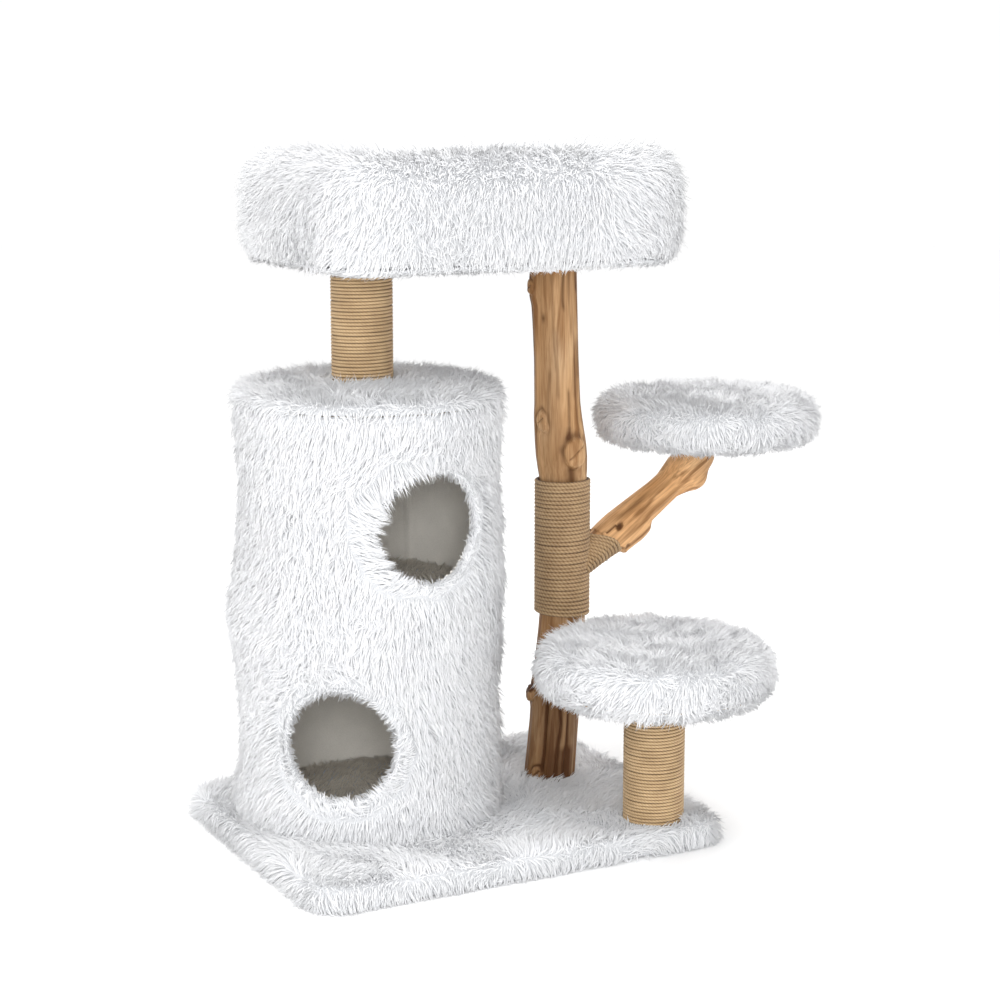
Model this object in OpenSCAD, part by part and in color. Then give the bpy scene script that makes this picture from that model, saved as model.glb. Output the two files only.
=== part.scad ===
// Cat tree: a plush-covered base carrying a two-storey round condo, a natural wood trunk with one
// branch, two round perches and a long raised bed. Millimetres, +Z up, the base stands on z = 0
// and the origin is the centre of its underside. The front, with the upper door, faces -Y.

/* [Base] */
// Length of the base board, left to right
base_l = 600; // [560:5:640]
// Depth of the base board, front to back
base_w = 480; // [460:5:520]
// Thickness of the base board
base_t = 16; // [12:1:20]
// Corner radius of the base board
base_corner = 35; // [20:1:50]
// Thickness of the cover that is folded under the board
fold_t = 3; // [2:0.5:4]
// How far the plush stands out from the edges of the base board
base_side_pile = 12; // [8:1:16]
// Height of the plush above the base board
base_top_pile = 23; // [18:1:26]

/* [Layout] */
// Distance of the condo, trunk and branch behind the middle of the base
row_y = 50; // [40:1:60]
// Left-to-right place of the condo's axis
condo_x = -100; // [-105:1:-95]
// Left-to-right place of the upper sisal post
upper_post_x = -108; // [-112:1:-104]
// Left-to-right place of the lower sisal post and its perch
lower_post_x = 222; // [215:1:228]
// Front-to-back place of the lower sisal post and its perch
lower_post_y = -187; // [-190:1:-180]
// Left-to-right place of the upper perch
upper_perch_x = 454; // [448:1:458]
// Left-to-right place of the bed's middle
bed_x = 41; // [30:1:50]

/* [Condo] */
// Outer radius of the stiff tube inside the condo
tube_r = 168; // [160:1:172]
// Wall thickness of the tube
tube_wall = 5; // [4:0.5:6]
// Height of the top end of the tube
tube_top = 600; // [580:1:620]
// Thickness of the grey felt inside the rooms
lining_t = 2.5; // [2:0.5:3]
// Height of the underside of the middle floor
mid_floor_z = 320; // [310:1:325]
// Thickness of the condo's three wooden discs
disc_t = 12; // [10:1:14]
// Thickness of the plush mats in the two rooms
mat_t = 26; // [20:1:28]
// Radius of the door cut-outs in the tube
door_r = 84; // [78:1:88]
// Radial thickness of the plush rings round the doors
door_ring_t = 10; // [8:1:12]
// Height of the middle of the lower door
lower_door_z = 168; // [160:1:176]
// Direction of the lower door, degrees from the front toward the right
lower_door_turn = -39; // [-45:1:-30]
// Height of the middle of the upper door
upper_door_z = 462; // [455:1:470]
// Direction of the upper door, degrees from the front toward the right
upper_door_turn = 4; // [-5:1:10]
// Height of the plush lid above its board
lid_pile = 25; // [20:1:28]

/* [Sisal posts] */
// Outer radius of the cardboard core tubes
core_r = 38; // [36:0.5:40]
// Wall thickness of the core tubes
core_wall = 5; // [4:0.5:6]
// Thickness of the sisal rope on the posts
sisal_d = 4.5; // [4:0.5:5]
// Height of the upper end of the lower post
lower_post_top = 225; // [220:1:228]

/* [Trunk and branch] */
// Height of the lower edge of the rope wound on the trunk
wrap_z0 = 279; // [275:1:283]
// Height of the upper edge of the rope wound on the trunk
wrap_z1 = 479; // [475:1:481]
// Thickness of the jute rope on the trunk and the branch
jute_d = 6; // [5:0.5:6]

/* [Perches and bed] */
// Radius of both round perches, over the plush
perch_r = 167; // [160:1:170]
// Overall height of the lower perch
lower_perch_h = 81; // [76:1:84]
// Overall height of the upper perch
upper_perch_h = 70; // [68:1:74]
// Height of the underside of the upper perch
upper_perch_z = 516; // [513:1:518]
// Length of the bed over the plush
bed_l = 541; // [520:1:560]
// Depth of the bed over the plush
bed_w = 427; // [410:1:440]
// Height of the bed's rim, top to bottom
bed_h = 160; // [150:1:165]
// Height of the underside of the bed
bed_z = 801; // [795:1:810]
// Corner radius of the bed over the plush
bed_corner = 92; // [85:1:100]
// Width of the bed's padded rim
rim_w = 88; // [80:1:95]

/* [Hidden] */
$fn = 96;
board_z = fold_t;
board_top = board_z + base_t;
plush_top = board_top + base_top_pile;
fold_w = 35;
tube_in = tube_r - tube_wall;
lining_in = tube_in - lining_t;
floor_top = board_top + disc_t;
lid_board_t = 15;
lid_board_top = tube_top + lid_board_t;
lid_top = lid_board_top + lid_pile;
post_r = core_r + sisal_d;
perch_skin = 17;
perch_board_t = 12;
lower_perch_z = lower_post_top - perch_skin;
bed_skin = 8;
bed_board_t = 12;
bed_board_z = bed_z + bed_skin;
bed_board_top = bed_board_z + bed_board_t;
bed_board_inset = 22;
rim_edge = 42;
cushion_t = 38;
plug_t = 18;
trunk_foot_x = 187;
trunk_head_x = 191;
wrap_x = 207.5;
skin_sides = 20;
trunk_rings = 40;
trunk_wrap_r = 34.6;
branch_root_x = 216;
branch_root_z = 330;
branch_tilt = 35.3;
branch_wrap_r = 30.8;
branch_head_x = 444;
branch_bolt_z = 352;
base_recess = 8;
bolt_recess = 7;
washer_t = 1.6;
lag_r = 5;
lag_head_t = 6;
lag_depth = 45;
perch_screw_gap = 28;

// Outline of the plush sleeve round the condo: [height, radius]
cover_outline = [[plush_top, 190], [75, 191], [140, 186], [225, 183], [300, 187], [365, 191],
    [430, 186], [505, 180], [560, 182], [lid_board_top, 188]];

// Height and place of the trunk's middle line along X
trunk_line = [[19, trunk_foot_x], [113, 195], [200, 201], [270, 207], [479, 208], [515, 204.5],
    [583, 198.5], [655, 196.5], [740, 193], [809, trunk_head_x]];

// Height and radius of the trunk
trunk_radius = [[19, 37.5], [113, 36], [200, 34.8], [270, 33.2], [479, 33.2], [496, 36], [521, 37],
    [552, 35.5], [590, 33], [655, 32], [740, 33], [809, 33]];

// Stubs of cut side shoots on the trunk: [height, direction in degrees from +X, bump, size]
trunk_knots = [[758, 170, 6, 16], [521, -80, 5, 20], [162, 165, 8, 16], [567, 200, 2.5, 14],
    [45, 210, 2, 14]];

// Cross-sections of the branch: [x, z, tilt of its axis from +X, radius]
branch_rings = [[branch_root_x, branch_root_z, 35, 29], [258, 360, 35, 29.5], [300, 389.5, 35, 30.3],
    [345, 421, 36, 30], [388, 452, 38, 29.5], [418, 475, 47, 31], [434, 496, 64, 33.5],
    [442, 516, 80, 33.5], [branch_head_x, upper_perch_z + perch_skin, 90, 33]];

// ---- shared shapes ----

// A flat slab with rounded corners, centred on the Z axis
module slab(l, w, h, r) {
    linear_extrude(height = h) union() {
        square([l - 2 * r, w], center = true);
        square([l, w - 2 * r], center = true);
        for (sx = [-1, 1], sy = [-1, 1])
            translate([sx * (l / 2 - r), sy * (w / 2 - r)]) circle(r = r);
    }
}

// A slab whose top and bottom edges are rounded as well, by the radius e
module soft_slab(l, w, h, r, e) {
    hull() for (sx = [-1, 1], sy = [-1, 1])
        translate([sx * (l / 2 - r), sy * (w / 2 - r), 0])
            rotate_extrude($fn = 32) soft_profile(r, h, e, 5);
}

// Half profile of a round pad: radius r, height h, edges rounded by e in n steps
module soft_profile(r, h, e, n) {
    polygon(concat([[0, 0]],
        [for (i = [0:n]) [r - e + e * sin(90 * i / n), e - e * cos(90 * i / n)]],
        [for (i = [0:n]) [r - e + e * cos(90 * i / n), h - e + e * sin(90 * i / n)]],
        [[0, h]]));
}

// Half profile of rope wound side by side on a tube of radius r, from z0 to z1
module wound_profile(r, z0, z1, d) {
    turns = round((z1 - z0) / d);
    pitch = (z1 - z0) / turns;
    bulge = [[0, 0.72], [0.2, 0.94], [0.5, 1], [0.8, 0.94]];
    polygon(concat([[r, z0]],
        [for (t = [0:turns - 1], b = bulge) [r + d * b[1], z0 + pitch * (t + b[0])]],
        [[r + d * bulge[0][1], z1], [r, z1]]));
}

// Places children on the condo's axis
module at_condo() {
    translate([condo_x, row_y, 0]) children();
}

// A round hole of radius r through the condo's wall, at height z and turned from the front
module door_cut(r, z, turn) {
    translate([0, 0, z]) rotate([0, 0, turn]) rotate([90, 0, 0])
        translate([0, 0, 60]) cylinder(r = r, h = 200);
}

module lower_door_cut(r) {
    door_cut(r, lower_door_z, lower_door_turn);
}

module upper_door_cut(r) {
    door_cut(r, upper_door_z, upper_door_turn);
}

// Places children at each of the four screws that hold the condo's floor disc
module at_floor_screws() {
    for (a = [45:90:315]) at_condo() rotate([0, 0, a]) translate([125, 0, 0]) children();
}

module at_lower_post() {
    translate([lower_post_x, lower_post_y, 0]) children();
}

module at_upper_post() {
    translate([upper_post_x, row_y, 0]) children();
}

module at_trunk_foot() {
    translate([trunk_foot_x, row_y, 0]) children();
}

module at_trunk_head() {
    translate([trunk_head_x, row_y, 0]) children();
}

// Turns the Z axis to the axis of the branch's straight root
module at_branch_root() {
    translate([branch_root_x, row_y, branch_root_z]) rotate([0, 90 - branch_tilt, 0]) children();
}

module at_upper_perch() {
    translate([upper_perch_x, row_y, 0]) children();
}

// Places children at the two screws from the upper perch into the end of the branch
module at_perch_screws() {
    for (side = [-0.5, 0.5])
        translate([branch_head_x + side * perch_screw_gap, row_y, 0]) children();
}

module at_bed() {
    translate([bed_x, row_y, 0]) children();
}

// ---- base ----

module base_board() {
    color("burlywood") difference() {
        translate([0, 0, board_z]) slab(base_l, base_w, base_t, base_corner);
        at_lower_post() bolt_hole(board_z, 4.2, 12.5, base_recess, base_t);
        at_trunk_foot() bolt_hole(board_z, lag_r, 12.5, base_recess, base_t);
        at_floor_screws() bolt_hole(board_z, 2.5, 5, 4, base_t);
    }
}

// A bolt's clearance hole with a recess for its head, upward from z
module bolt_hole(z, r, head_r, head_t, through) {
    translate([0, 0, z - 1]) cylinder(r = r, h = through + 2);
    translate([0, 0, z - 1]) cylinder(r = head_r, h = head_t + 1);
}

module base_plush() {
    color("white") difference() {
        slab(base_l + 2 * base_side_pile, base_w + 2 * base_side_pile, plush_top,
            base_corner + base_side_pile);
        translate([0, 0, board_z]) slab(base_l, base_w, base_t, base_corner);
        translate([0, 0, -1])
            slab(base_l - 2 * fold_w, base_w - 2 * fold_w, board_z + 1.5, base_corner);
        at_condo() translate([0, 0, board_top - 0.5]) cylinder(r = tube_r, h = 60);
        at_lower_post() translate([0, 0, board_top - 0.5]) cylinder(r = post_r, h = 60);
        at_trunk_foot() translate([0, 0, board_top - 0.5]) cylinder(r = 40, h = 60);
    }
}

// A felt panel fills the window that the folded plush leaves under the board
module base_liner() {
    color("dimgray") difference() {
        slab(base_l - 2 * fold_w, base_w - 2 * fold_w, fold_t, base_corner);
        at_lower_post() translate([0, 0, -1]) cylinder(r = 12.5, h = 10);
        at_trunk_foot() translate([0, 0, -1]) cylinder(r = 12.5, h = 10);
        at_floor_screws() translate([0, 0, -1]) cylinder(r = 5, h = 10);
    }
}

// ---- condo ----

module condo_floor() {
    color("burlywood") difference() {
        at_condo() translate([0, 0, board_top]) cylinder(r = tube_in, h = disc_t);
        at_floor_screws() translate([0, 0, board_top - 1]) cylinder(r = 2, h = disc_t);
        tube_screw_holes(board_top + disc_t / 2);
    }
}

module condo_tube() {
    color("peru") difference() {
        at_condo() difference() {
            translate([0, 0, board_top]) cylinder(r = tube_r, h = tube_top - board_top);
            translate([0, 0, board_top - 1]) cylinder(r = tube_in, h = tube_top);
            lower_door_cut(door_r);
            upper_door_cut(door_r);
        }
        tube_screw_holes(board_top + disc_t / 2);
        tube_screw_holes(mid_floor_z + disc_t / 2);
        tube_screw_holes(tube_top - disc_t / 2);
    }
}

// Six radial holes for the screws through the tube into a disc
module tube_screw_holes(z) {
    at_condo() for (a = [15:60:315]) rotate([0, 0, a]) translate([tube_in - 18, 0, z])
        rotate([0, 90, 0]) cylinder(r = 1.75, h = 40);
}

module condo_mid_floor() {
    color("burlywood") difference() {
        at_condo() translate([0, 0, mid_floor_z]) cylinder(r = tube_in, h = disc_t);
        tube_screw_holes(mid_floor_z + disc_t / 2);
    }
}

// The lid is a disc on the end of the tube with a smaller disc that plugs into it
module lid_board() {
    color("burlywood") difference() {
        at_condo() union() {
            translate([0, 0, tube_top]) cylinder(r = tube_r, h = lid_board_t);
            translate([0, 0, tube_top - disc_t]) cylinder(r = tube_in, h = disc_t + 1);
        }
        tube_screw_holes(tube_top - disc_t / 2);
        at_upper_post() bolt_hole(tube_top - disc_t, 4.2, 12.5, 12, disc_t + lid_board_t);
    }
}

// Felt on a room's wall and ceiling
module lining(z0, z1) {
    difference() {
        translate([0, 0, z0]) cylinder(r = tube_in, h = z1 - z0);
        translate([0, 0, z0 - 1]) cylinder(r = lining_in, h = z1 - z0 + 1 - lining_t);
        lower_door_cut(door_r);
        upper_door_cut(door_r);
    }
}

module lower_room_lining() {
    color("tan") at_condo() lining(floor_top, mid_floor_z);
}

module upper_room_lining() {
    color("tan") at_condo() lining(mid_floor_z + disc_t, tube_top - disc_t);
}

module lower_room_mat() {
    color("whitesmoke") at_condo() translate([0, 0, floor_top])
        cylinder(r = lining_in - 0.5, h = mat_t);
}

module upper_room_mat() {
    color("whitesmoke") at_condo() translate([0, 0, mid_floor_z + disc_t])
        cylinder(r = lining_in - 0.5, h = mat_t);
}

module condo_plush() {
    color("white") at_condo() difference() {
        rotate_extrude() polygon(concat([[tube_r, plush_top]],
            [for (p = cover_outline) [p[1], p[0]]], [[tube_r, lid_board_top]]));
        lower_door_cut(door_r);
        upper_door_cut(door_r);
    }
}

module lid_plush() {
    edge = 16;
    steps = 5;
    r = cover_outline[len(cover_outline) - 1][1];
    color("white") difference() {
        at_condo() rotate_extrude() polygon(concat([[0, lid_board_top], [r, lid_board_top]],
            [for (i = [0:steps]) [r - edge + edge * cos(90 * i / steps),
                lid_top - edge + edge * sin(90 * i / steps)]], [[0, lid_top]]));
        at_upper_post() translate([0, 0, lid_board_top - 1]) cylinder(r = post_r, h = 60);
    }
}

// The plush roll round a door lies in the wall's thickness
module door_ring(z, turn) {
    in_r = lining_in - 3;
    out_r = 187;
    intersection() {
        difference() {
            translate([0, 0, z - 120]) cylinder(r = out_r, h = 240);
            translate([0, 0, z - 121]) cylinder(r = in_r, h = 242);
        }
        difference() {
            door_cut(door_r, z, turn);
            door_cut(door_r - door_ring_t, z, turn);
        }
    }
}

module lower_door_ring() {
    color("white") at_condo() door_ring(lower_door_z, lower_door_turn);
}

module upper_door_ring() {
    color("white") at_condo() door_ring(upper_door_z, upper_door_turn);
}

// Small round-head screws through the tube into the three discs
module tube_screws() {
    color("silver") at_condo()
        for (z = [board_top + disc_t / 2, mid_floor_z + disc_t / 2, tube_top - disc_t / 2])
            for (a = [15:60:315]) rotate([0, 0, a]) translate([tube_in - 17, 0, z])
                rotate([0, 90, 0]) cylinder(r = 1.75, h = 17 + tube_wall);
}

module floor_screws() {
    color("silver") at_floor_screws() union() {
        translate([0, 0, board_z + 1.5]) cylinder(r = 4, h = 2.5);
        translate([0, 0, board_z + 3]) cylinder(r = 2, h = base_t - 3 + disc_t - 2);
    }
}

// ---- sisal posts ----

module post_core(z0, z1) {
    difference() {
        translate([0, 0, z0]) cylinder(r = core_r, h = z1 - z0);
        translate([0, 0, z0 - 1]) cylinder(r = core_r - core_wall, h = z1 - z0 + 2);
    }
}

module post_plugs(z0, z1) {
    for (z = [z0, z1 - plug_t]) difference() {
        translate([0, 0, z]) cylinder(r = core_r - core_wall, h = plug_t);
        translate([0, 0, z - 1]) cylinder(r = 4, h = plug_t + 2);
    }
}

module lower_post_core() {
    color("peru") at_lower_post() post_core(board_top, lower_post_top);
}

module lower_post_sisal() {
    color("burlywood") at_lower_post()
        rotate_extrude() wound_profile(core_r, board_top, lower_post_top, sisal_d);
}

module lower_post_plugs() {
    color("burlywood") at_lower_post() post_plugs(board_top, lower_post_top);
}

module upper_post_core() {
    color("peru") at_upper_post() post_core(lid_board_top, bed_board_z);
}

module upper_post_sisal() {
    color("burlywood") at_upper_post()
        rotate_extrude() wound_profile(core_r, lid_board_top, bed_board_z, sisal_d);
}

module upper_post_plugs() {
    color("burlywood") at_upper_post() post_plugs(lid_board_top, bed_board_z);
}

// An M8 hex bolt, its head's bearing face at z and its shank upward
module hex_bolt(z, shank) {
    head_t = 5.3;
    translate([0, 0, z - head_t]) cylinder(d = 15, h = head_t, $fn = 6);
    translate([0, 0, z - 0.5]) cylinder(r = 4, h = shank + 0.5);
}

// Each sisal post is held by one bolt from below and one from above
module post_bolts() {
    color("silver") {
        at_lower_post() hex_bolt(board_z + base_recess - washer_t, 24);
        at_lower_post() translate([0, 0, lower_post_top + perch_board_t - bolt_recess + washer_t])
            mirror([0, 0, 1]) hex_bolt(0, 21);
        at_upper_post() hex_bolt(tube_top - washer_t, 31);
        at_upper_post() translate([0, 0, bed_board_top - bolt_recess + washer_t])
            mirror([0, 0, 1]) hex_bolt(0, 21);
    }
}

module washer(z) {
    difference() {
        translate([0, 0, z]) cylinder(r = 11, h = washer_t);
        translate([0, 0, z - 1]) cylinder(r = 4, h = washer_t + 2);
    }
}

// One washer lies under the head of each post bolt
module post_washers() {
    color("gainsboro") {
        at_lower_post() washer(board_z + base_recess - washer_t);
        at_lower_post() washer(lower_post_top + perch_board_t - bolt_recess);
        at_upper_post() washer(tube_top - washer_t);
        at_upper_post() washer(bed_board_top - bolt_recess);
    }
}

// ---- trunk and branch ----

// How far the knot k lifts the bark at height z in the direction a
function knot(z, a, k) =
    let(dz = (z - k[0]) / k[3], da = (((a - k[1]) % 360 + 540) % 360 - 180) / 32)
    k[2] * exp(-dz * dz - da * da);

// The sum over all knots
function knots(z, a) = [for (k = trunk_knots) knot(z, a, k)] * [for (k = trunk_knots) 1];

function trunk_r(z, a) = lookup(z, trunk_radius) * (1 + 0.015 * sin(3 * a + z / 2)) + knots(z, a);

// A closed skin over rings of points, n points in each
module skin(rings, n) {
    last = len(rings) - 1;
    polyhedron(points = [for (r = rings, p = r) p], faces = concat(
        [[for (i = [0:n - 1]) i]],
        [for (k = [0:last - 1], i = [0:n - 1])
            [k * n + i, (k + 1) * n + i, (k + 1) * n + (i + 1) % n]],
        [for (k = [0:last - 1], i = [0:n - 1])
            [k * n + i, (k + 1) * n + (i + 1) % n, k * n + (i + 1) % n]],
        [[for (i = [n - 1:-1:0]) last * n + i]]));
}

// A horizontal hole along X through the trunk's middle at the branch bolt's height
module branch_bolt_hole(x0, x1, r) {
    translate([x0, row_y, branch_bolt_z]) rotate([0, 90, 0]) cylinder(r = r, h = x1 - x0);
}

module trunk() {
    top = bed_board_z;
    heights = [for (i = [0:trunk_rings]) board_top + (top - board_top) * i / trunk_rings];
    rings = [for (z = heights) [for (i = [0:skin_sides - 1]) let(a = 360 * i / skin_sides)
        [lookup(z, trunk_line) + trunk_r(z, a) * cos(a), row_y + trunk_r(z, a) * sin(a), z]]];
    color("peru") difference() {
        skin(rings, skin_sides);
        at_trunk_foot() translate([0, 0, board_top - 1]) cylinder(r = lag_r, h = lag_depth + 2);
        at_trunk_head() translate([0, 0, top - lag_depth - 1]) cylinder(r = lag_r, h = lag_depth + 2);
        branch_bolt_hole(wrap_x - 60, wrap_x + 60, 4);
        branch_bolt_hole(wrap_x - 60, wrap_x - 24, 13);
    }
}

module branch() {
    rings = [for (b = branch_rings) [for (i = [0:skin_sides - 1]) let(a = 360 * i / skin_sides)
        [b[0] - b[3] * cos(a) * sin(b[2]), row_y + b[3] * sin(a), b[1] + b[3] * cos(a) * cos(b[2])]]];
    color("peru") difference() {
        skin(rings, skin_sides);
        translate([wrap_x, row_y, 200]) cylinder(r = trunk_wrap_r, h = 300);
        branch_bolt_hole(wrap_x, wrap_x + 80, 4);
        at_perch_screws() translate([0, 0, 480]) cylinder(r = 2.5, h = 60);
    }
}

// The jute wound round the trunk parts where the branch leaves it
module trunk_rope() {
    color("tan") difference() {
        translate([wrap_x, row_y, 0])
            rotate_extrude() wound_profile(trunk_wrap_r, wrap_z0, wrap_z1, jute_d);
        at_branch_root() cylinder(r = branch_wrap_r, h = 80);
    }
}

module branch_rope() {
    color("tan") difference() {
        at_branch_root() rotate_extrude() wound_profile(branch_wrap_r, 20, 86, jute_d);
        translate([wrap_x, row_y, 150]) cylinder(r = trunk_wrap_r + jute_d, h = 400);
    }
}

// A lag screw, its head's bearing face at z and its shank upward
module lag_screw(z, shank) {
    translate([0, 0, z - lag_head_t]) cylinder(d = 19, h = lag_head_t, $fn = 6);
    translate([0, 0, z - 1]) cylinder(r = lag_r, h = shank + 1);
}

// Two lag screws hold the trunk to the base and the bed
module trunk_lags() {
    color("silver") {
        at_trunk_foot() lag_screw(board_z + base_recess, base_t - base_recess + lag_depth);
        at_trunk_head() translate([0, 0, bed_board_top - lag_head_t])
            mirror([0, 0, 1]) lag_screw(0, bed_board_t - lag_head_t + lag_depth);
    }
}

module branch_bolt() {
    color("silver") translate([wrap_x - 24, row_y, branch_bolt_z]) rotate([0, 90, 0]) hex_bolt(0, 100);
}

// ---- perches ----

module perch_board(z) {
    translate([0, 0, z]) cylinder(r = perch_r - perch_skin, h = perch_board_t);
}

// The plush goes round the board and the foam and is stapled under the board
module perch_plush(z, h, board_at) {
    difference() {
        translate([0, 0, z]) rotate_extrude() soft_profile(perch_r, h, h / 2 - 3, 6);
        translate([0, 0, board_at])
            cylinder(r = perch_r - perch_skin, h = z + h - perch_skin - board_at);
    }
}

module lower_perch_board() {
    color("burlywood") at_lower_post() difference() {
        perch_board(lower_post_top);
        translate([0, 0, lower_post_top - 1]) cylinder(r = 4.2, h = 20);
        translate([0, 0, lower_post_top + perch_board_t - bolt_recess]) cylinder(r = 12.5, h = 20);
    }
}

module lower_perch_foam() {
    z = lower_post_top + perch_board_t;
    color("khaki") at_lower_post() translate([0, 0, z])
        cylinder(r = perch_r - perch_skin, h = lower_perch_z + lower_perch_h - perch_skin - z);
}

module lower_perch_plush() {
    color("white") at_lower_post() difference() {
        perch_plush(lower_perch_z, lower_perch_h, lower_post_top);
        translate([0, 0, lower_perch_z - 1]) cylinder(r = post_r, h = perch_skin + 2);
    }
}

module upper_perch_board() {
    z = upper_perch_z + perch_skin;
    color("burlywood") difference() {
        at_upper_perch() perch_board(z);
        at_perch_screws() translate([0, 0, z - 1]) cylinder(r = 2.5, h = 20);
        at_perch_screws() translate([0, 0, z + perch_board_t - 3]) cylinder(r = 5, h = 5);
    }
}

module upper_perch_foam() {
    z = upper_perch_z + perch_skin + perch_board_t;
    color("khaki") at_upper_perch() translate([0, 0, z])
        cylinder(r = perch_r - perch_skin, h = upper_perch_z + upper_perch_h - perch_skin - z);
}

module upper_perch_plush() {
    color("white") difference() {
        at_upper_perch() perch_plush(upper_perch_z, upper_perch_h, upper_perch_z + perch_skin);
        translate([branch_head_x, row_y, upper_perch_z - 1]) cylinder(r = 37, h = perch_skin + 2);
    }
}

module upper_perch_screws() {
    z = upper_perch_z + perch_skin + perch_board_t;
    color("silver") at_perch_screws() union() {
        translate([0, 0, z - 3]) cylinder(r = 4.5, h = 3);
        translate([0, 0, z - 50]) cylinder(r = 2.5, h = 48);
    }
}

// ---- bed ----

module bed_board_blank() {
    slab(bed_l - 2 * bed_board_inset, bed_w - 2 * bed_board_inset, bed_board_t,
        bed_corner - bed_board_inset);
}

module bed_board() {
    color("burlywood") difference() {
        at_bed() translate([0, 0, bed_board_z]) bed_board_blank();
        at_upper_post() translate([0, 0, bed_board_z - 1]) cylinder(r = 4.2, h = 20);
        at_upper_post() translate([0, 0, bed_board_top - bolt_recess]) cylinder(r = 12.5, h = 20);
        at_trunk_head() translate([0, 0, bed_board_z - 1]) cylinder(r = lag_r, h = 20);
        at_trunk_head() translate([0, 0, bed_board_top - lag_head_t]) cylinder(r = 12.5, h = 20);
    }
}

// The plush skin under the board, with openings for the post and the trunk
module bed_underside() {
    color("white") difference() {
        intersection() {
            at_bed() translate([0, 0, bed_z]) soft_slab(bed_l, bed_w, bed_h, bed_corner, rim_edge);
            at_bed() translate([0, 0, bed_z]) slab(bed_l, bed_w, bed_skin, bed_corner);
        }
        at_upper_post() translate([0, 0, bed_z - 1]) cylinder(r = post_r, h = bed_skin + 2);
        at_trunk_head() translate([0, 0, bed_z - 1]) cylinder(r = 35, h = bed_skin + 2);
    }
}

// The stuffed rim that stands round the board and the nest
module bed_rim() {
    color("white") difference() {
        at_bed() translate([0, 0, bed_z]) soft_slab(bed_l, bed_w, bed_h, bed_corner, rim_edge);
        at_bed() translate([0, 0, bed_z - 1]) slab(bed_l + 2, bed_w + 2, bed_skin + 1, bed_corner);
        at_bed() translate([0, 0, bed_board_z]) bed_board_blank();
        at_bed() translate([0, 0, bed_board_top - 1])
            slab(bed_l - 2 * rim_w, bed_w - 2 * rim_w, bed_h, 40);
    }
}

module bed_cushion() {
    gap = 2;
    color("whitesmoke") at_bed() translate([0, 0, bed_board_top])
        slab(bed_l - 2 * rim_w - 2 * gap, bed_w - 2 * rim_w - 2 * gap, cushion_t, 38);
}

base_board();
base_plush();
base_liner();
condo_floor();
condo_tube();
condo_mid_floor();
lid_board();
lower_room_lining();
upper_room_lining();
lower_room_mat();
upper_room_mat();
condo_plush();
lid_plush();
lower_door_ring();
upper_door_ring();
tube_screws();
lower_post_core();
lower_post_sisal();
lower_post_plugs();
upper_post_core();
upper_post_sisal();
upper_post_plugs();
post_bolts();
post_washers();
trunk();
branch();
trunk_rope();
branch_rope();
trunk_lags();
branch_bolt();
lower_perch_board();
lower_perch_foam();
lower_perch_plush();
upper_perch_board();
upper_perch_foam();
upper_perch_plush();
upper_perch_screws();
bed_board();
bed_underside();
bed_rim();
bed_cushion();
floor_screws();
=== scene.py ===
import math

import bmesh
import bpy
import numpy as np
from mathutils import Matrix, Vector, kdtree


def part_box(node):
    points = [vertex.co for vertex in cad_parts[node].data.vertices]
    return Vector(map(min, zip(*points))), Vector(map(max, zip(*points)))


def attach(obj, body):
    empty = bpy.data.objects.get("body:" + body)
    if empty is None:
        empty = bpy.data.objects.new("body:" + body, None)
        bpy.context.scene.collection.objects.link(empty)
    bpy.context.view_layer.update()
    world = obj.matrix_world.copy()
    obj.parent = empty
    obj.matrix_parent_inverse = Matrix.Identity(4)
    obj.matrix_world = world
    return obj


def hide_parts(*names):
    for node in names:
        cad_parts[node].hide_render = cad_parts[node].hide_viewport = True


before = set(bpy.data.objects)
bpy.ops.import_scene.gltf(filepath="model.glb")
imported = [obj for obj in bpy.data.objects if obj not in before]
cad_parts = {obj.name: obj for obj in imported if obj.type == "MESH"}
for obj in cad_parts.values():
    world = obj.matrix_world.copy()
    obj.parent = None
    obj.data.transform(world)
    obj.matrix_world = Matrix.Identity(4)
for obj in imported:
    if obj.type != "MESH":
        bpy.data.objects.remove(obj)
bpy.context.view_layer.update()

MM = 0.001
TURN = 2 * math.pi
UP = np.array([0.0, 0.0, 1.0])

# ---- places, read from the CAD frame ----


def middle(node):
    """A CAD node's middle in plan."""
    low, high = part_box(node)
    return np.array([(low.x + high.x) / 2, (low.y + high.y) / 2, 0.0])


def heights(node):
    """A CAD node's lowest and highest point."""
    low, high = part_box(node)
    return low.z, high.z


def half_size(node):
    low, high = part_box(node)
    return (high - low) / 2


def plan(node):
    """A CAD node's length along X and width along Y."""
    low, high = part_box(node)
    return high.x - low.x, high.y - low.y


CONDO = middle("condo_tube")
LOWER_POST = middle("lower_post_core")
UPPER_POST = middle("upper_post_core")
LOWER_PERCH = middle("lower_perch_board")
UPPER_PERCH = middle("upper_perch_board")
TRUNK_FOOT = middle("trunk_lags") - [2 * MM, 0, 0]
TRUNK_HEAD = middle("trunk_lags") + [2 * MM, 0, 0]
TRUNK_WRAP = middle("trunk_rope")
BED = middle("bed_board")
BASE = middle("base_board")

TUBE_R = half_size("condo_tube").x
LINING_R = half_size("lower_room_mat").x + 0.5 * MM
POST_R = half_size("lower_post_sisal").x
CORE_R = half_size("lower_post_core").x
PERCH_R = half_size("lower_perch_plush").x
WRAP_R = half_size("trunk_rope").x
PLUSH_TOP = heights("base_plush")[1]
LID_SEAM, LID_TOP = heights("lid_plush")

DOOR_R = 84 * MM
LOWER_DOOR = (168 * MM, math.radians(-39))
UPPER_DOOR = (462 * MM, math.radians(4))
DOORS = (LOWER_DOOR, UPPER_DOOR)
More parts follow.
